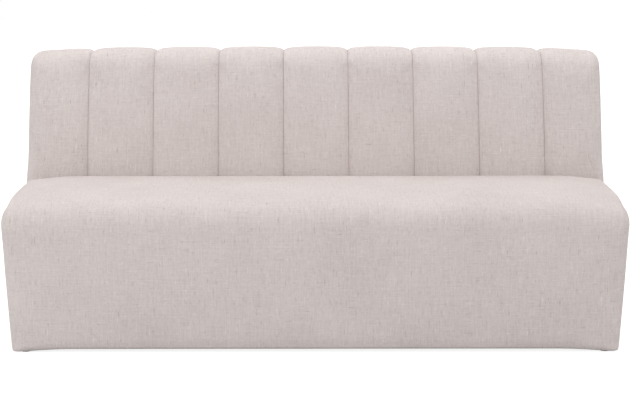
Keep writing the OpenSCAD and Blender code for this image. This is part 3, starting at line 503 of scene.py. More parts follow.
def seat_grid(rows):
    """The points of the seat's surface, row by row."""
    y, z, ny, nz, inset, deep, hem = (rows[:, [i]] for i in range(7))
    flat_w = seat_half_w(z) - inset
    fall = END_FALL * np.maximum(0, 1 - (1 - np.abs(seat_flat)) * flat_w / END_FALL_RUN) ** 2
    total = fall * np.maximum(0, nz) + deep * (1 - np.cos(seat_turn))
    z_new = z - total * nz
    rolled = np.sign(seat_flat) * (seat_half_w(z_new) - inset * (1 - np.sin(seat_turn)))
    x = np.where(seat_turn == 0, seat_flat * flat_w, rolled)
    x = x - np.sign(x) * SEAM_TUCK * (seat_turn > SEAM_TURN)
    apart = POINT_GAP * np.arange(len(rows))[:, None]
    y_new = np.minimum(y - total * ny, face_line(z_new) - FIT_GAP - apart)
    return np.stack([x, y_new, z_new + hem * (hem_z(HALF_W - np.abs(x)) - HEM_LOW)], axis=2)


def seat_inside(outer):
    """What the seat rests on: the domed springs, and lower down the front board."""
    inside = outer.copy()
    rear_y = face_line(DECK_Z + SPRING_RISE) - FIT_GAP
    front_in_y = front_line(DECK_Z, FRONT_PAD_T)
    split = int(np.argmin(np.abs(outer[:, outer.shape[1] // 2, 2] - DECK_Z)))
    for row in range(len(outer)):
        if row <= split:
            share = row / split
            y = rear_y + share * (front_in_y - rear_y)
            inside[row, :, 1] = np.maximum(y, np.minimum(outer[row, :, 1] + FRONT_PAD_T, rear_y))
            inside[row, :, 2] = DECK_Z + SPRING_RISE * math.sin(math.pi * (1 - share))
        else:
            board = front_line(outer[row, :, 2], FRONT_PAD_T)
            inside[row, :, 1] = np.maximum(outer[row, :, 1] + FRONT_PAD_T / 2, board)
    reach = seat_half_w(inside[:, :, 2]) - END_PAD_T
    inside[:, :, 0] *= reach / np.abs(outer[:, :, 0]).max(axis=1, keepdims=True)
    return inside


seat_outer = seat_grid(seat_rows)
seat = padded_form("seat_pad", seat_outer, seat_inside(seat_outer))
print("seat grid", seat_outer.shape)

# %% Settle the seat
SEAT_PRESSURE, SEAT_CAP, SEAT_STIFFNESS, SEAT_FILL = 0.5, 0.002, 40.0, 0.85
settle(seat, seat_outer, SEAT_PRESSURE, SEAT_CAP, SEAT_STIFFNESS)
finish_pad(seat, ["seat_cover", "seat_foam", "front_padding"])

# %% [markdown]
# ## The channels of the back
# Nine strips of cloth are sewn to each other, each over its own filling. A strip is full in the
# middle and drops into a tight groove at each seam. It rises from behind the seat, leans back,
# turns over the top edge and ends at the rear. The two end channels roll over onto the ends.

# %% Stations of a channel
FRAME_TOP_Z, FRAME_CORNER_R = SOFA_H - CHANNEL_TOP_T, 0.008
FRAME_CORNER_Z = FRAME_TOP_Z - FRAME_CORNER_R
FRAME_CORNER_Y = (face_line(FRAME_CORNER_Z + FRAME_CORNER_R * FACE_N[1], CHANNEL_T)
                  - FRAME_CORNER_R * FACE_N[0])
CREST_Z = SOFA_H - TOP_FRONT_R
FACE_END_Z = CREST_Z + TOP_FRONT_R * FACE_N[1]
CREST_Y = face_line(FACE_END_Z) - TOP_FRONT_R * FACE_N[0]
FOOT_Z = WIDE_Z + CHANNEL_T * FACE_N[1] + FIT_GAP
REAR_SPARE = 0.004
TOP_ROLL, REAR_ROLL = CHANNEL_TOP_T - FRAME_CORNER_R, TOP_REAR_R - REAR_SPARE
FOOT_END_R, FOOT_BELOW, FOOT_RUN = 0.009, 0.03, 0.11


def face_row(share):
    """Place, normal, end inset, end depth and place on the frame of one row on the face."""
    z = FOOT_Z + share * (FACE_END_Z - FOOT_Z)
    end_r = FOOT_END_R + (BACK_END_R - FOOT_END_R) * float(ease((z - JOINT_Z + FOOT_BELOW) / FOOT_RUN))
    return (face_line(z), z, *FACE_N, end_r, end_r,
            face_line(z) - CHANNEL_T * FACE_N[0], z - CHANNEL_T * FACE_N[1])


def crest_row(share):
    """The same for one row over the front of the top edge."""
    turn = math.pi - FACE_ANGLE - share * (math.pi / 2 - FACE_ANGLE)
    n = (math.cos(turn), math.sin(turn))
    return (CREST_Y + TOP_FRONT_R * n[0], CREST_Z + TOP_FRONT_R * n[1], *n, BACK_END_R,
            BACK_END_R + share * (TOP_ROLL - BACK_END_R),
            FRAME_CORNER_Y + FRAME_CORNER_R * n[0], FRAME_CORNER_Z + FRAME_CORNER_R * n[1])


def rear_crest_row(share):
    """The same for one row over the rear of the top edge."""
    turn = math.pi / 2 - share * (math.pi / 2 + REAR_ANGLE)
    n = (math.cos(turn), math.sin(turn))
    base_end = rear_line(FRAME_TOP_Z, FABRIC_T + FIT_GAP)
    return (REAR_CREST_Y + TOP_REAR_R * n[0], REAR_CREST_Z + TOP_REAR_R * n[1], *n,
            BACK_END_R + share * (REAR_ROLL - BACK_END_R), REAR_ROLL,
            REAR_CREST_Y + share * (base_end - REAR_CREST_Y), FRAME_TOP_Z)


FACE_TO, FACE_ROWS, CREST_ROWS, REAR_ROWS = 0.97, 34, 12, 8
back_rows = np.array([face_row(s) for s in np.linspace(0, FACE_TO, FACE_ROWS)]
                     + [crest_row(s) for s in np.linspace(0, 1, CREST_ROWS)]
                     + [rear_crest_row(s) for s in np.linspace(0, 1, REAR_ROWS)])

# %% Points of a channel
CROWN_D, NOTCH_SHARPNESS = 0.0035, 13
TOP_FALL, TOP_END_FALL, TOP_END_FROM, TOP_END_RUN = 0.005, 0.009, 0.78, 0.18
BACK_BELLY, BELLY_DEPTH = 0.014, 0.12
SEAM_SPREAD, SEAM_SLANT, SEAM_SHIFT = 0.0050, 0.0010, 0.0028
LAST_SEAM_X = (CHANNEL_N / 2 - 1) * CHANNEL_PITCH
SEAM_COLUMNS, EASED_SHARE, EVEN_SHARE, BACK_ROLL_STEPS = 29, 0.8, 0.2, 9
even_steps = np.linspace(0, 1, SEAM_COLUMNS)
seam_steps = ease(even_steps) * EASED_SHARE + even_steps * EVEN_SHARE
back_turns = np.radians(np.linspace(90 / BACK_ROLL_STEPS, 90, BACK_ROLL_STEPS))


def groove(share):
    """How far the cloth lies below the crown of its channel."""
    out = np.abs(1 - 2 * share)
    return CROWN_D * out ** 2 + (GROOVE_D - CROWN_D) * out ** NOTCH_SHARPNESS


def middle_channel():
    """Outer grid of a channel between two seams, around x = 0."""
    y, z, ny, nz = (back_rows[:, [i]] for i in range(4))
    total = groove(seam_steps)
    x = (seam_steps - 0.5) * (CHANNEL_PITCH - FIT_GAP)
    y_new, z_new = y - total * ny, z - total * nz
    return np.stack([np.broadcast_to(x, y_new.shape), y_new, z_new], axis=2)


def end_channel():
    """Outer grid of the channel at the right end, from its seam to the seam down the end."""
    y, z, ny, nz, inset, deep = (back_rows[:, [i]] for i in range(6))
    share = np.concatenate([seam_steps, np.ones(len(back_turns))])
    turn = np.concatenate([np.zeros(len(seam_steps)), back_turns])
    flat_x = back_half_w(z) - inset
    x = LAST_SEAM_X + FIT_GAP + share * (flat_x - LAST_SEAM_X)
    in_groove = groove(np.minimum(0.5, (x - LAST_SEAM_X) / CHANNEL_PITCH))
    total = in_groove + deep * (1 - np.cos(turn))
    z_new = z - total * nz
    rolled = back_half_w(z_new) - inset * (1 - np.sin(turn))
    x = np.where(turn == 0, x, rolled) - SEAM_TUCK * (turn > SEAM_TURN)
    return np.stack([x, y - total * ny, z_new], axis=2)


def hand_made(points):
    """A back covered by hand: fullest halfway up, its top falls to the ends, its seams spread."""
    x, y, z = points[..., 0], points[..., 1], points[..., 2]
    rise = np.clip((z - JOINT_Z) / (SOFA_H - JOINT_Z), 0, 1)
    behind_face = y - JOINT_Y - BACK_LEAN * rise
    belly = BACK_BELLY * np.sin(np.pi * rise) * (1 - ease(behind_face / BELLY_DEPTH))
    out = np.abs(x) / HALF_W
    fall = TOP_FALL * out ** 2 + TOP_END_FALL * ease((out - TOP_END_FROM) / TOP_END_RUN)
    fall = fall * ease((z - SEAT_H) / (SOFA_H - SEAT_H))
    down = 1 - 2 * rise
    inner = 1 - ease((np.abs(x) - LAST_SEAM_X) / (HALF_W - BACK_END_R - LAST_SEAM_X))
    shift = inner * (SEAM_SHIFT + down * (SEAM_SPREAD * x / LAST_SEAM_X + SEAM_SLANT))
    return points + np.stack([shift, -belly, -fall], axis=-1)


def on_base(outer):
    """The inner grid of a channel, on the frame behind it."""
    inside = outer.copy()
    inside[:, :, 1] = back_rows[:, [6]]
    inside[:, :, 2] = back_rows[:, [7]]
    return inside


def mirrored(grid):
    """The other side's grid, with its columns turned round so that the faces still point out."""
    return grid[:, ::-1] * np.array([-1, 1, 1])


# %% Make the channels
CHANNEL_PRESSURE, CHANNEL_CAP, CHANNEL_FILL = 5.0, 0.004, 0.8
CHANNEL_SHIFT = np.array([0.613, 0.377])  # each piece is cut from another place of the cloth
for number in range(1, CHANNEL_N + 1):
    if number in (1, CHANNEL_N):
        channel_outer = end_channel() if number > 1 else mirrored(end_channel())
    else:
        middle_x = (number - (CHANNEL_N + 1) / 2) * CHANNEL_PITCH
        channel_outer = middle_channel() + np.array([middle_x, 0, 0])
    channel_outer = hand_made(channel_outer)
    channel = padded_form(f"channel_pad_{number}", channel_outer[::-1], on_base(channel_outer)[::-1],
                          shift=number * CHANNEL_SHIFT)
    settle(channel, channel_outer, CHANNEL_PRESSURE, CHANNEL_CAP)
    finish_pad(channel, [f"channel_cover_{number}", f"channel_filling_{number}"])
print("channel grid", channel_outer.shape)

# %% [markdown]
# ## Panels at the ends
# A flat panel closes each end of the base and each end of the back. It is sewn all round to the
# piece that rolls over onto it, so its outline is the last column of that piece. A Coons patch
# fills four edge curves with a smooth grid, which suits a panel whose edges are already known.


# %% Panel helper
def resampled(points, count):
    """The same polyline with evenly spaced points."""
    points = np.asarray(points, float)
    at = np.concatenate([[0], np.cumsum(np.linalg.norm(np.diff(points, axis=0), axis=1))])
    even = np.linspace(0, at[-1], count)
    return np.stack([np.interp(even, at, points[:, i]) for i in range(2)], axis=1)


def patch(front, rear, low, high, rows, cols):
    """A grid of y and z between a front, a rear, a low and a high edge, which run up or back."""
    front, rear = resampled(front, rows)[:, None], resampled(rear, rows)[:, None]
    low, high = resampled(low, cols)[None], resampled(high, cols)[None]
    u, v = np.linspace(0, 1, cols)[None, :, None], np.linspace(0, 1, rows)[:, None, None]
    corners = ((1 - u) * (1 - v) * low[:, :1] + u * (1 - v) * low[:, -1:]
               + (1 - u) * v * high[:, :1] + u * v * high[:, -1:])
    return (1 - u) * front + u * rear + (1 - v) * low + v * high - corners


CROWN_POWER, TUCK_POWER = 6, 60
PANEL_CROWN, PANEL_PRESSURE, PANEL_CAP, PANEL_FILL = 0.0015, 2.0, 0.0025, 0.5
frame_out_x = float(seat_half_w(0.0)) - END_PAD_T


def end_panels(kind, flat, half_width, shift, padding):
    """A thin crowned pad at each end, sewn down along its border and settled."""
    u = np.linspace(-1, 1, flat.shape[1])[None, :]
    v = np.linspace(-1, 1, flat.shape[0])[:, None]
    tuck = SEAM_TUCK * np.maximum(np.abs(u), np.abs(v)) ** TUCK_POWER
    rise = PANEL_CROWN * (1 - u ** CROWN_POWER) * (1 - v ** CROWN_POWER) - tuck
    outer = np.concatenate([(half_width(flat[..., 1]) + rise)[..., None], flat], axis=2)
    inner = np.concatenate([np.full((*flat.shape[:2], 1), frame_out_x), flat], axis=2)
    for side, word in ((-1, "left"), (1, "right")):
        grids = (outer, inner) if side > 0 else (mirrored(outer), mirrored(inner))
        panel = padded_form(f"{word}_{kind}_panel", grids[0][::-1], grids[1][::-1],
                            (shift[0] * side, shift[1]))
        settle(panel, flat, PANEL_PRESSURE, PANEL_CAP)
        finish_pad(panel, [f"{word}_{kind}_cover", f"{word}_{padding}"])


# %% End panels of the base
BASE_ROWS, BASE_COLUMNS, REAR_POINTS, HEM_POINTS, BASE_SHIFT = 40, 60, 40, 80, (7.1, 3.3)
seat_edge = seat_outer[:, -1, 1:]
corner_row = int(np.argmin(np.linalg.norm(seat_edge - np.array([NOSE_Y, NOSE_Z]), axis=1)))
rear_zs = np.linspace(HEM_LOW, WIDE_Z, REAR_POINTS)
base_rear = np.stack([rear_line(rear_zs, FABRIC_T), rear_zs], axis=1)
base_front = seat_edge[corner_row:][::-1]
base_high = np.concatenate([seat_edge[:corner_row + 1][::-1], base_rear[-1:]])
hem_ys = np.linspace(base_front[0, 0], base_rear[0, 0], HEM_POINTS)
base_low = np.stack([hem_ys, hem_z(np.minimum(hem_ys - hem_ys[0], hem_ys[-1] - hem_ys))], axis=1)
base_flat = patch(base_front, base_rear, base_low, base_high, BASE_ROWS, BASE_COLUMNS)
end_panels("end", base_flat, seat_half_w, BASE_SHIFT, "end_padding")

# %% End panels of the back
BACK_PANEL_ROWS, BACK_PANEL_COLUMNS, BACK_SHIFT = 48, 20, (9.7, 5.3)
BACK_LOW_Z = WIDE_Z + FIT_GAP
back_edge = hand_made(end_channel())[:, -1, 1:]
turn_row = FACE_ROWS + CREST_ROWS // 2 - 1
back_rear_zs = np.linspace(BACK_LOW_Z, REAR_END_Z - REAR_ROLL, REAR_POINTS)
back_rear = np.stack([rear_line(back_rear_zs, FABRIC_T), back_rear_zs], axis=1)
foot = np.array([[back_edge[0, 0], BACK_LOW_Z]])
back_flat = patch(np.concatenate([foot, back_edge[:turn_row + 1]]),
                  np.concatenate([back_rear, back_edge[-1:]]),
                  np.concatenate([foot, back_rear[:1]]),
                  back_edge[turn_row:], BACK_PANEL_ROWS, BACK_PANEL_COLUMNS)
end_panels("back_end", back_flat, back_half_w, BACK_SHIFT, "back_padding")

# %% [markdown]
# ## The outside back and the dust cover
# Two plain sheets close the sofa where nobody looks. Linen is stretched flat down the outside
# back, from the top seam to the hem. A thin black felt is stretched under the base and stapled
# to the rails. A grid with under a millimetre of slack in it is all they need.


# %% Sheet helper
def sheet_form(name, grid, thick, material):
    """An open grid of points with a thickness and a cloth map."""
    flat = cloth_coordinates(grid).reshape(-1, 2)
    piece = cloth_object(name, grid.reshape(-1, 3), grid_faces(*grid.shape[:2]), flat, material)
    wall = piece.modifiers.new("thickness", "SOLIDIFY")
    wall.thickness, wall.offset = thick, -1
    return piece


# %% Outside back
SLACK, SLACK_ACROSS, SLACK_DOWN = 0.0008, 5.0, 3.0
SHEET_ROWS, SHEET_COLUMNS, BAND_ROWS, BAND_FROM, HEM_BAND = 60, 121, 6, 0.03, 0.04
SIDE_TUCK_POWER, TOP_TUCK_POWER, SHEET_T = 200, 80, 0.0012
back_zs = np.concatenate([np.linspace(REAR_END_Z - FIT_GAP, HEM_BAND, SHEET_ROWS),
                          np.linspace(BAND_FROM, HEM_LOW, BAND_ROWS)])[:, None]
shares = np.linspace(-1, 1, SHEET_COLUMNS)[None]
sheet_half_w = np.minimum(seat_half_w(back_zs), back_half_w(back_zs))
sheet_half_w -= np.maximum(0, back_zs - (REAR_END_Z - REAR_ROLL))
sheet_x = -shares * sheet_half_w
lift = ease((HEM_BAND - back_zs) / HEM_BAND)
sheet_z = back_zs + lift * (hem_z(seat_half_w(0.0) - np.abs(sheet_x)) - HEM_LOW)
top_share = np.clip((back_zs - SEAT_H) / (REAR_END_Z - SEAT_H), 0, 1)
edge_share = np.maximum(np.abs(shares) ** SIDE_TUCK_POWER, np.abs(top_share) ** TOP_TUCK_POWER)
wave = SLACK * np.sin(SLACK_ACROSS * sheet_x / HALF_W) * np.sin(SLACK_DOWN * sheet_z / SOFA_H * math.pi)
sheet_y = rear_line(sheet_z) + wave * (1 - edge_share) - SEAM_TUCK * edge_share
sheet_grid = hand_made(np.stack([sheet_x, sheet_y, sheet_z], axis=2))
outside_back = sheet_form("outside_back_panel", sheet_grid, SHEET_T, COVER)
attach(outside_back, "root")
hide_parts("outside_back_cover")

# %% Dust cover
DUST_T, DUST_SAG, DUST_ROWS, DUST_COLUMNS = 0.0008, 0.0012, 41, 121
EVEN_SAG, UNEVEN_SAG, SAG_WAVES = 0.6, 0.4, 6
dust_low, dust_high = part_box("dust_cover")
dust_x, dust_y = np.meshgrid(np.linspace(dust_low.x, dust_high.x, DUST_COLUMNS),
                             np.linspace(dust_low.y, dust_high.y, DUST_ROWS))
dust_u = (dust_x - dust_low.x) / (dust_high.x - dust_low.x)
dust_v = (dust_y - dust_low.y) / (dust_high.y - dust_low.y)
uneven = EVEN_SAG + UNEVEN_SAG * np.sin(SAG_WAVES * math.pi * dust_u) ** 2
dust_z = dust_high.z - FABRIC_T / 4 - DUST_SAG * (np.sin(math.pi * dust_v) ** 2) * uneven
dust_grid = np.stack([dust_x, dust_y, dust_z], axis=2)[::-1]

# %% [markdown]
# ## Stitches and staples
# Seams are what make a cover look sewn. Along every seam a run of small stitches repeats, and
# round the dust cover a row of staples does. Geometry Nodes place one small shape at even steps
# on a path, turned along it. The result is turned into a plain mesh, because only that is
# exported.


# %% Repeat helpers
def repeat_tree(name, unit, finish):
    """A tree that puts a unit shape along a curve: step, wobble and seed are its inputs."""
    tree = bpy.data.node_groups.new(name, "GeometryNodeTree")
    for label, way, kind in (("Path", "INPUT", "Geometry"), ("Step", "INPUT", "Float"),
                             ("Wobble", "INPUT", "Float"), ("Seed", "INPUT", "Int"),
                             ("Shape", "OUTPUT", "Geometry")):
        tree.interface.new_socket(label, in_out=way, socket_type="NodeSocket" + kind)
    add = partial(add_node, tree)
    given = add("NodeGroupInput")
    steps = add("GeometryNodeResampleCurve", {"mode": "LENGTH"},
                Curve=given["Path"], Length=given["Step"])
    points = add("GeometryNodeCurveToPoints", {"mode": "EVALUATED"}, Curve=steps["Curve"])
    low = add("ShaderNodeMath", {"operation": "MULTIPLY"}, i0=given["Wobble"], i1=-1.0)[0]
    wobble = add("FunctionNodeRandomValue", {"data_type": "FLOAT_VECTOR"},
                 Min=low, Max=given["Wobble"], Seed=given["Seed"])
    turn = add("FunctionNodeRotateRotation", {"rotation_space": "LOCAL"},
               Rotation=points["Rotation"], Rotate_By=wobble["Value"])
    place = add("GeometryNodeInstanceOnPoints", Points=points["Points"], Rotation=turn["Rotation"],
                Instance=add("GeometryNodeObjectInfo", Object=unit)["Geometry"])
    real = add("GeometryNodeRealizeInstances", Geometry=place["Instances"])
    wear = add("GeometryNodeSetMaterial", Geometry=real["Geometry"], Material=finish)
    add("NodeGroupOutput", Shape=wear["Geometry"])
    return tree


def along_paths(name, paths, unit, finish, step, wobble, seed):
    """Repeats a unit shape along paths and returns one plain mesh object."""
    curve = bpy.data.curves.new(name + "_path", "CURVE")
    curve.dimensions = "3D"
    for points in paths:
        spline = curve.splines.new("POLY")
        spline.points.add(len(points) - 1)
        with_weight = np.concatenate([points, np.ones((len(points), 1))], axis=1)
        spline.points.foreach_set("co", with_weight.ravel())
    path = in_scene(curve.name, curve)
    tree = repeat_tree(name + "_tree", unit, finish)
    sockets = {item.name: item.identifier for item in tree.interface.items_tree}
    maker = path.modifiers.new("repeat", "NODES")
    maker.node_group = tree
    for label, value in (("Step", step), ("Wobble", wobble), ("Seed", seed)):
        maker[sockets[label]] = value
    evaluated = path.evaluated_get(bpy.context.evaluated_depsgraph_get())
    mesh = bpy.data.meshes.new_from_object(evaluated)
    mesh.name = name
    made = in_scene(name, mesh)
    bpy.data.objects.remove(path)
    bpy.data.node_groups.remove(tree)
    print(name, "faces:", len(mesh.polygons))
    return made


BAR_SIDES, TAPERED, BLUNT = 6, (0.55, 0.92, 1.0), (1, 1, 1)


def rounded_bar(name, length, radius, widths=TAPERED):
    """A short thread or wire along Z to repeat, with its widths from the ends to the middle."""
    end, near_end, middle = widths
    stations = [(-1.0, end), (-0.8, near_end), (0.0, middle), (0.8, near_end), (1.0, end)]
    turns = [2 * math.pi * k / BAR_SIDES for k in range(BAR_SIDES)]
    points = [(radius * r * math.cos(turn), radius * r * math.sin(turn), length / 2 * at)
              for at, r in stations for turn in turns]
    rings = np.arange(len(points)).reshape(-1, BAR_SIDES)
    corners = [rings[:-1], np.roll(rings[:-1], -1, 1), np.roll(rings[1:], -1, 1), rings[1:]]
    faces = np.stack(corners, axis=2).reshape(-1, 4).tolist()
    faces += [rings[0, ::-1].tolist(), rings[-1].tolist()]
    mesh = bpy.data.meshes.new(name)
    mesh.from_pydata(points, [], faces)
    mesh.shade_smooth()
    return bpy.data.objects.new(name, mesh)


# %% Stitches in the seams
STITCH_L, STITCH_R, STITCH_STEP, STITCH_LIFT = 0.0044, 0.0005, 0.006, 0.0006
GROOVE_WOBBLE, GROOVE_SEED, END_WOBBLE, END_SEED = 0.08, 7, 0.10, 11
HIDDEN_ROWS, JOINT_ROWS = 5, 2  # rows of the seat's end seam without stitches
stitch = rounded_bar("stitch", STITCH_L, STITCH_R)
groove_depth = GROOVE_D - STITCH_LIFT
groove_line = np.stack([np.zeros(len(back_rows)), back_rows[:, 0] - groove_depth * back_rows[:, 2],
                        back_rows[:, 1] - groove_depth * back_rows[:, 3]], axis=1)
groove_paths = [hand_made(groove_line + np.array([(number - CHANNEL_N / 2) * CHANNEL_PITCH, 0, 0]))
                for number in range(1, CHANNEL_N)]


def end_path(points, half_width, side):
    """A seam round an end panel, on the surface where it is tucked in."""
    x = half_width(points[:, 1]) - SEAM_TUCK + STITCH_LIFT
    return np.stack([side * x, points[:, 0], points[:, 1]], axis=1)


seat_seam = seat_edge[JOINT_ROWS:-HIDDEN_ROWS][::-1]
back_seam = back_edge[int(np.argmax(back_edge[:, 1] > JOINT_Z)):]
end_paths = [end_path(points, width, side) for side in (-1, 1)
             for points, width in ((seat_seam, seat_half_w), (back_seam, back_half_w))]
seam_stitches = along_paths("channel_seam_stitches", groove_paths, stitch, THREAD,
                            STITCH_STEP, GROOVE_WOBBLE, GROOVE_SEED)
end_stitches = along_paths("end_seam_stitches", end_paths, stitch, THREAD,
                           STITCH_STEP, END_WOBBLE, END_SEED)
for made in (seam_stitches, end_stitches):
    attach(made, "root")

# %% [markdown]
# ## What is inside
# The frame, springs and webbing keep their CAD shape and get their own finish. Birch plywood
# shows its plies on its edges, softwood its grain along the rail, spring wire a drawn sheen,
# and jute and felt their yarns and fibres. All of them read Object coordinates, which are metres
# here, so the grain keeps its real scale.


# %% Wood finishes
PLY_PAIR_T, PINE_BANDS = 0.0028, 46.0


def plywood():
    """Birch plywood: a lively face, and light and dark plies on the edges."""
    f = Finish("birch_plywood", roughness=0.62)
    place = f.object_place()
    grain = f.grains((40, 14, 300), 4.0, 0.6)
    broad = f.grains((4, 2, 16), 2.0)
    x = f.node("SeparateXYZ", Vector=place)[0]
    plies = f.math("SINE", f.math("MULTIPLY", x, 2 * math.pi / PLY_PAIR_T))
    sideways = f.node("SeparateXYZ", Vector=f.node("NewGeometry")["Normal"])[0]
    on_edge = f.math("LESS_THAN", f.math("ABSOLUTE", sideways), 0.5)
    face = f.mix(grain, rgb(214, 184, 142), rgb(186, 150, 106))
    face = f.mix(f.between(broad, 0.35, 0.65, 0, 0.35), face, rgb(226, 201, 164))
    edge = f.mix(f.between(plies, -0.4, 0.4), rgb(150, 112, 74), rgb(214, 186, 146))
    return f.wear(f.mix(on_edge, face, edge), f.bump(grain, 0.25, 0.0004),
                  f.between(grain, 0.2, 0.8, 0.52, 0.72))


def pine():
    """Softwood with growth bands and knots that run along a rail."""
    f = Finish("pine_rail", roughness=0.6)
    place = f.object_place()
    rings = f.grains((1.2, 34, 34), 3.0, 0.6)
    bands = f.math("SINE", f.math("MULTIPLY", rings, PINE_BANDS))
    fibre = f.grains((16, 900, 900), 2.0)
    knots = f.node("TexVoronoi", Vector=f.scaled(place, (2.6, 11, 11)), Scale=1.0)["Distance"]
    colour = f.mix(f.between(bands, -1, 1), rgb(226, 196, 148), rgb(196, 154, 100))
    colour = f.mix(f.between(fibre, 0.35, 0.65, 0, 0.3), colour, rgb(180, 140, 94))
    colour = f.mix(f.between(knots, 0.10, 0.05), colour, rgb(112, 72, 42))
    return f.wear(colour, f.bump(fibre, 0.3, 0.0003), f.between(fibre, 0.2, 0.8, 0.5, 0.7))


# %% Metal, jute, felt and plastic
def steel(name, colour, roughness):
    """Drawn wire or zinc-plated steel, a little uneven."""
    f = Finish(name, roughness=roughness, metallic=1.0)
    place = f.object_place()
    drawn = f.grains((900, 120, 900), 3.0)
    spots = f.noise(place, 60.0, 3.0)
    tint = f.mix(f.between(spots, 0.45, 0.7, 0, 0.4), colour, rgb(120, 116, 112))
    worn = f.between(drawn, 0.3, 0.7, roughness - 0.08, roughness + 0.1)
    return f.wear(tint, f.bump(drawn, 0.2, 0.0002), worn)


def woven(name, light, dark, pitch):
    """A coarse plain weave of jute, seen on the flat of a strap or a sheet."""
    f = Finish(name, roughness=0.95, sheen=0.1)
    place = f.object_place()
    x, _, z = f.node("SeparateXYZ", Vector=f.scaled(place, (2 * math.pi / pitch,) * 3))
    weave = f.math("MULTIPLY", f.math("SINE", x), f.math("SINE", z))
    hair = f.noise(place, 700.0, 3.0)
    colour = f.mix(f.between(weave, -0.8, 0.8), dark, light)
    colour = f.mix(f.between(hair, 0.4, 0.7, 0, 0.5), colour, light)
    return f.wear(colour, f.bump(f.math("ADD", weave, hair), 0.6, 0.0008))


def felted(name, colour, fleck):
    """Felt with paler fibres in it."""
    f = Finish(name, roughness=0.97, sheen=0.15)
    place = f.object_place()
    fibre = f.noise(place, 900.0, 3.0, 0.7)
    cloud = f.noise(place, 12.0, 2.0)
    shade = f.mix(f.between(fibre, 0.5, 0.72, 0, 0.6), colour, fleck)
    shade = f.mix(f.between(cloud, 0.4, 0.7, 0, 0.25), shade, fleck)
    return f.wear(shade, f.bump(fibre, 0.5, 0.0006))


def moulded(name, colour):
    """Moulded plastic, fine-grained and a little scuffed."""
    f = Finish(name, roughness=0.45)
    place = f.object_place()
    grit = f.noise(place, 1400.0, 2.0)
    scuff = f.grains((60, 60, 300), 3.0)
    shade = f.mix(f.between(scuff, 0.5, 0.75, 0, 0.5), colour, rgb(96, 92, 88))
    return f.wear(shade, f.bump(grit, 0.3, 0.0002), f.between(scuff, 0.3, 0.7, 0.38, 0.62))


JUTE_PITCH, STEEL_ROUGHNESS = 0.0042, 0.34
JUTE_LIGHT, JUTE_DARK = rgb(184, 156, 112), rgb(122, 98, 64)
FELT_BLACK, FELT_FLECK = rgb(44, 42, 42), rgb(78, 75, 74)
finishes = {
    "plywood": plywood(), "pine": pine(),
    "steel": steel("bright_steel", rgb(188, 190, 194), STEEL_ROUGHNESS),
    "jute": woven("jute_webbing", JUTE_LIGHT, JUTE_DARK, JUTE_PITCH),
    "black_felt": felted("black_felt", FELT_BLACK, FELT_FLECK),
    "glide_plastic": moulded("glide_plastic", rgb(58, 54, 52)),
}
replaced = {"seat_foam", "wadding", "linen_cover"}
dressed = 0
for part in frame["record"]["subparts"]:
    if part["material_slot"] not in replaced and part["node"] != "dust_cover":
        node_mesh = frame["nodes"][part["node"]].data
        node_mesh.materials.clear()
        node_mesh.materials.append(finishes[part["material_slot"]])
        dressed += 1
print("inner parts dressed:", dressed)

# %% Dust cover and its staples
dust_cover = sheet_form("dust_cover_sheet", dust_grid, DUST_T, finishes["black_felt"])
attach(dust_cover, "root")
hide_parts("dust_cover")
STAPLE_L, STAPLE_R, STAPLE_STEP, STAPLE_IN = 0.010, 0.0006, 0.045, 0.009
STAPLE_WOBBLE, STAPLE_SEED = 0.12, 5
staple_z = dust_high.z - FABRIC_T / 4 - DUST_T - STAPLE_R / 2
x0, x1 = dust_low.x + STAPLE_IN, dust_high.x - STAPLE_IN
y0, y1 = dust_low.y + STAPLE_IN, dust_high.y - STAPLE_IN
ring = np.array([(x, y, staple_z) for x, y in ((x0, y0), (x1, y0), (x1, y1), (x0, y1), (x0, y0))])
staple = rounded_bar("staple", STAPLE_L, STAPLE_R, BLUNT)
staples = along_paths("dust_cover_staples", [ring[i:i + 2] for i in range(4)], staple,
                      finishes["steel"], STAPLE_STEP, STAPLE_WOBBLE, STAPLE_SEED)
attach(staples, "root")

# %% [markdown]
# ## Floor and light
# A pale floor and a pale room. The room lights the cloth softly from all round and more from
# above. A wide soft lamp over the back makes the seat lighter than the front, and softer ones
# in front and at both sides fill the rest. Seen by the camera the floor is white wherever no
# shadow falls, so the sofa keeps its own soft shadow and nothing else shows.

# %% Floor
FLOOR_SIZE = 30.0
FLOOR_GLOW, FLOOR_SHADE, FLOOR_BOUNCE = 0.85, 0.40, 0.66


def rays_of(add, *kinds):
    """1 for light paths of these kinds, else 0."""
    rays, found = add("ShaderNodeLightPath"), 0.0
    for kind in kinds:
        found = add("ShaderNodeMath", {"operation": "MAXIMUM"}, i0=found, i1=rays[f"Is {kind} Ray"])[0]
    return found


def grey(level):
    """A linear grey as a colour."""
    return (level, level, level, 1)


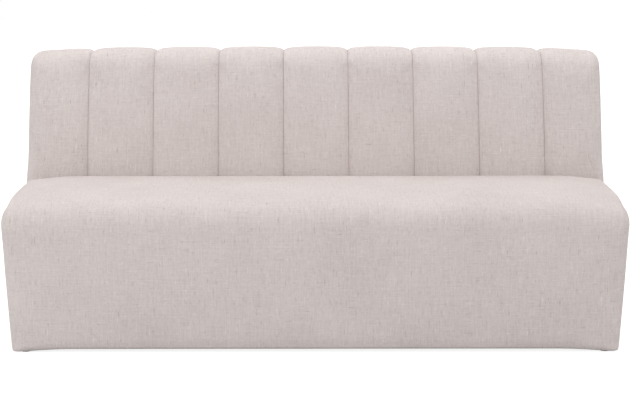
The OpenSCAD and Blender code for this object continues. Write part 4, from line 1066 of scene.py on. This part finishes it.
floor_mesh = bpy.data.meshes.new("floor")
half = FLOOR_SIZE / 2
floor_corners = [(-half, -half, 0), (half, -half, 0), (half, half, 0), (-half, half, 0)]
floor_mesh.from_pydata(floor_corners, [], [(0, 1, 2, 3)])
floor = in_scene("floor", floor_mesh)
floor_finish = bpy.data.materials.new("pale_floor")
floor_finish.use_nodes = True
floor_finish.node_tree.nodes.clear()
add = partial(add_node, floor_finish.node_tree)
seen = rays_of(add, "Camera", "Glossy", "Transmission")
plain = add("ShaderNodeBsdfDiffuse", Color=grey(FLOOR_BOUNCE))[0]
shade = add("ShaderNodeBsdfDiffuse", Color=grey(FLOOR_SHADE))[0]
glow = add("ShaderNodeEmission", Strength=FLOOR_GLOW)[0]
both = add("ShaderNodeAddShader", i0=shade, i1=glow)[0]
choose = add("ShaderNodeMixShader", i0=seen, i1=plain, i2=both)[0]
add("ShaderNodeOutputMaterial", i0=choose)
floor_mesh.materials.append(floor_finish)

# %% Room
ROOM_LOW, ROOM_HIGH, BACKDROP = 0.53, 1.13, 1.0
world = bpy.data.worlds.new("room")
bpy.context.scene.world = world
world.use_nodes = True
world.node_tree.nodes.clear()
add = partial(add_node, world.node_tree)
seen = rays_of(add, "Camera", "Transmission")
height = add("ShaderNodeSeparateXYZ", i0=add("ShaderNodeTexCoord")["Generated"])[2]
level = add("ShaderNodeMapRange", Value=height, To_Min=ROOM_LOW, To_Max=ROOM_HIGH)[0]
room = add("ShaderNodeBackground", Color=grey(1), Strength=level)[0]
backdrop = add("ShaderNodeBackground", Color=grey(1), Strength=BACKDROP)[0]
choose = add("ShaderNodeMixShader", i0=seen, i1=room, i2=backdrop)[0]
add("ShaderNodeOutputWorld", i0=choose)

# %% Lamps
LAMPS = (  # a name, where it hangs, where it points, its width and depth, and its watts
    ("overhead_lamp", (-0.15, 0.40, 2.3), (-0.15, 0, 0.4), (3.8, 1.0), 13.5),
    ("front_lamp", (-1.8, -4.5, 1.0), (0, 0, 0.5), (2.5, 2.0), 34),
    ("left_lamp", (-3.4, -1.0, 1.2), (-0.8, 0, 0.5), (1.6, 1.6), 6.5),
    ("right_lamp", (3.4, -1.0, 1.2), (0.8, 0, 0.5), (1.6, 1.6), 8.5),
)
for name, place, aim, size, power in LAMPS:
    light = bpy.data.lights.new(name, "AREA")
    light.shape, light.energy = "RECTANGLE", power
    light.size, light.size_y = size
    made = in_scene(name, light)
    made.location = place
    made.rotation_euler = (Vector(aim) - Vector(place)).to_track_quat("-Z", "Y").to_euler()
bpy.context.scene.view_settings.view_transform = "Standard"
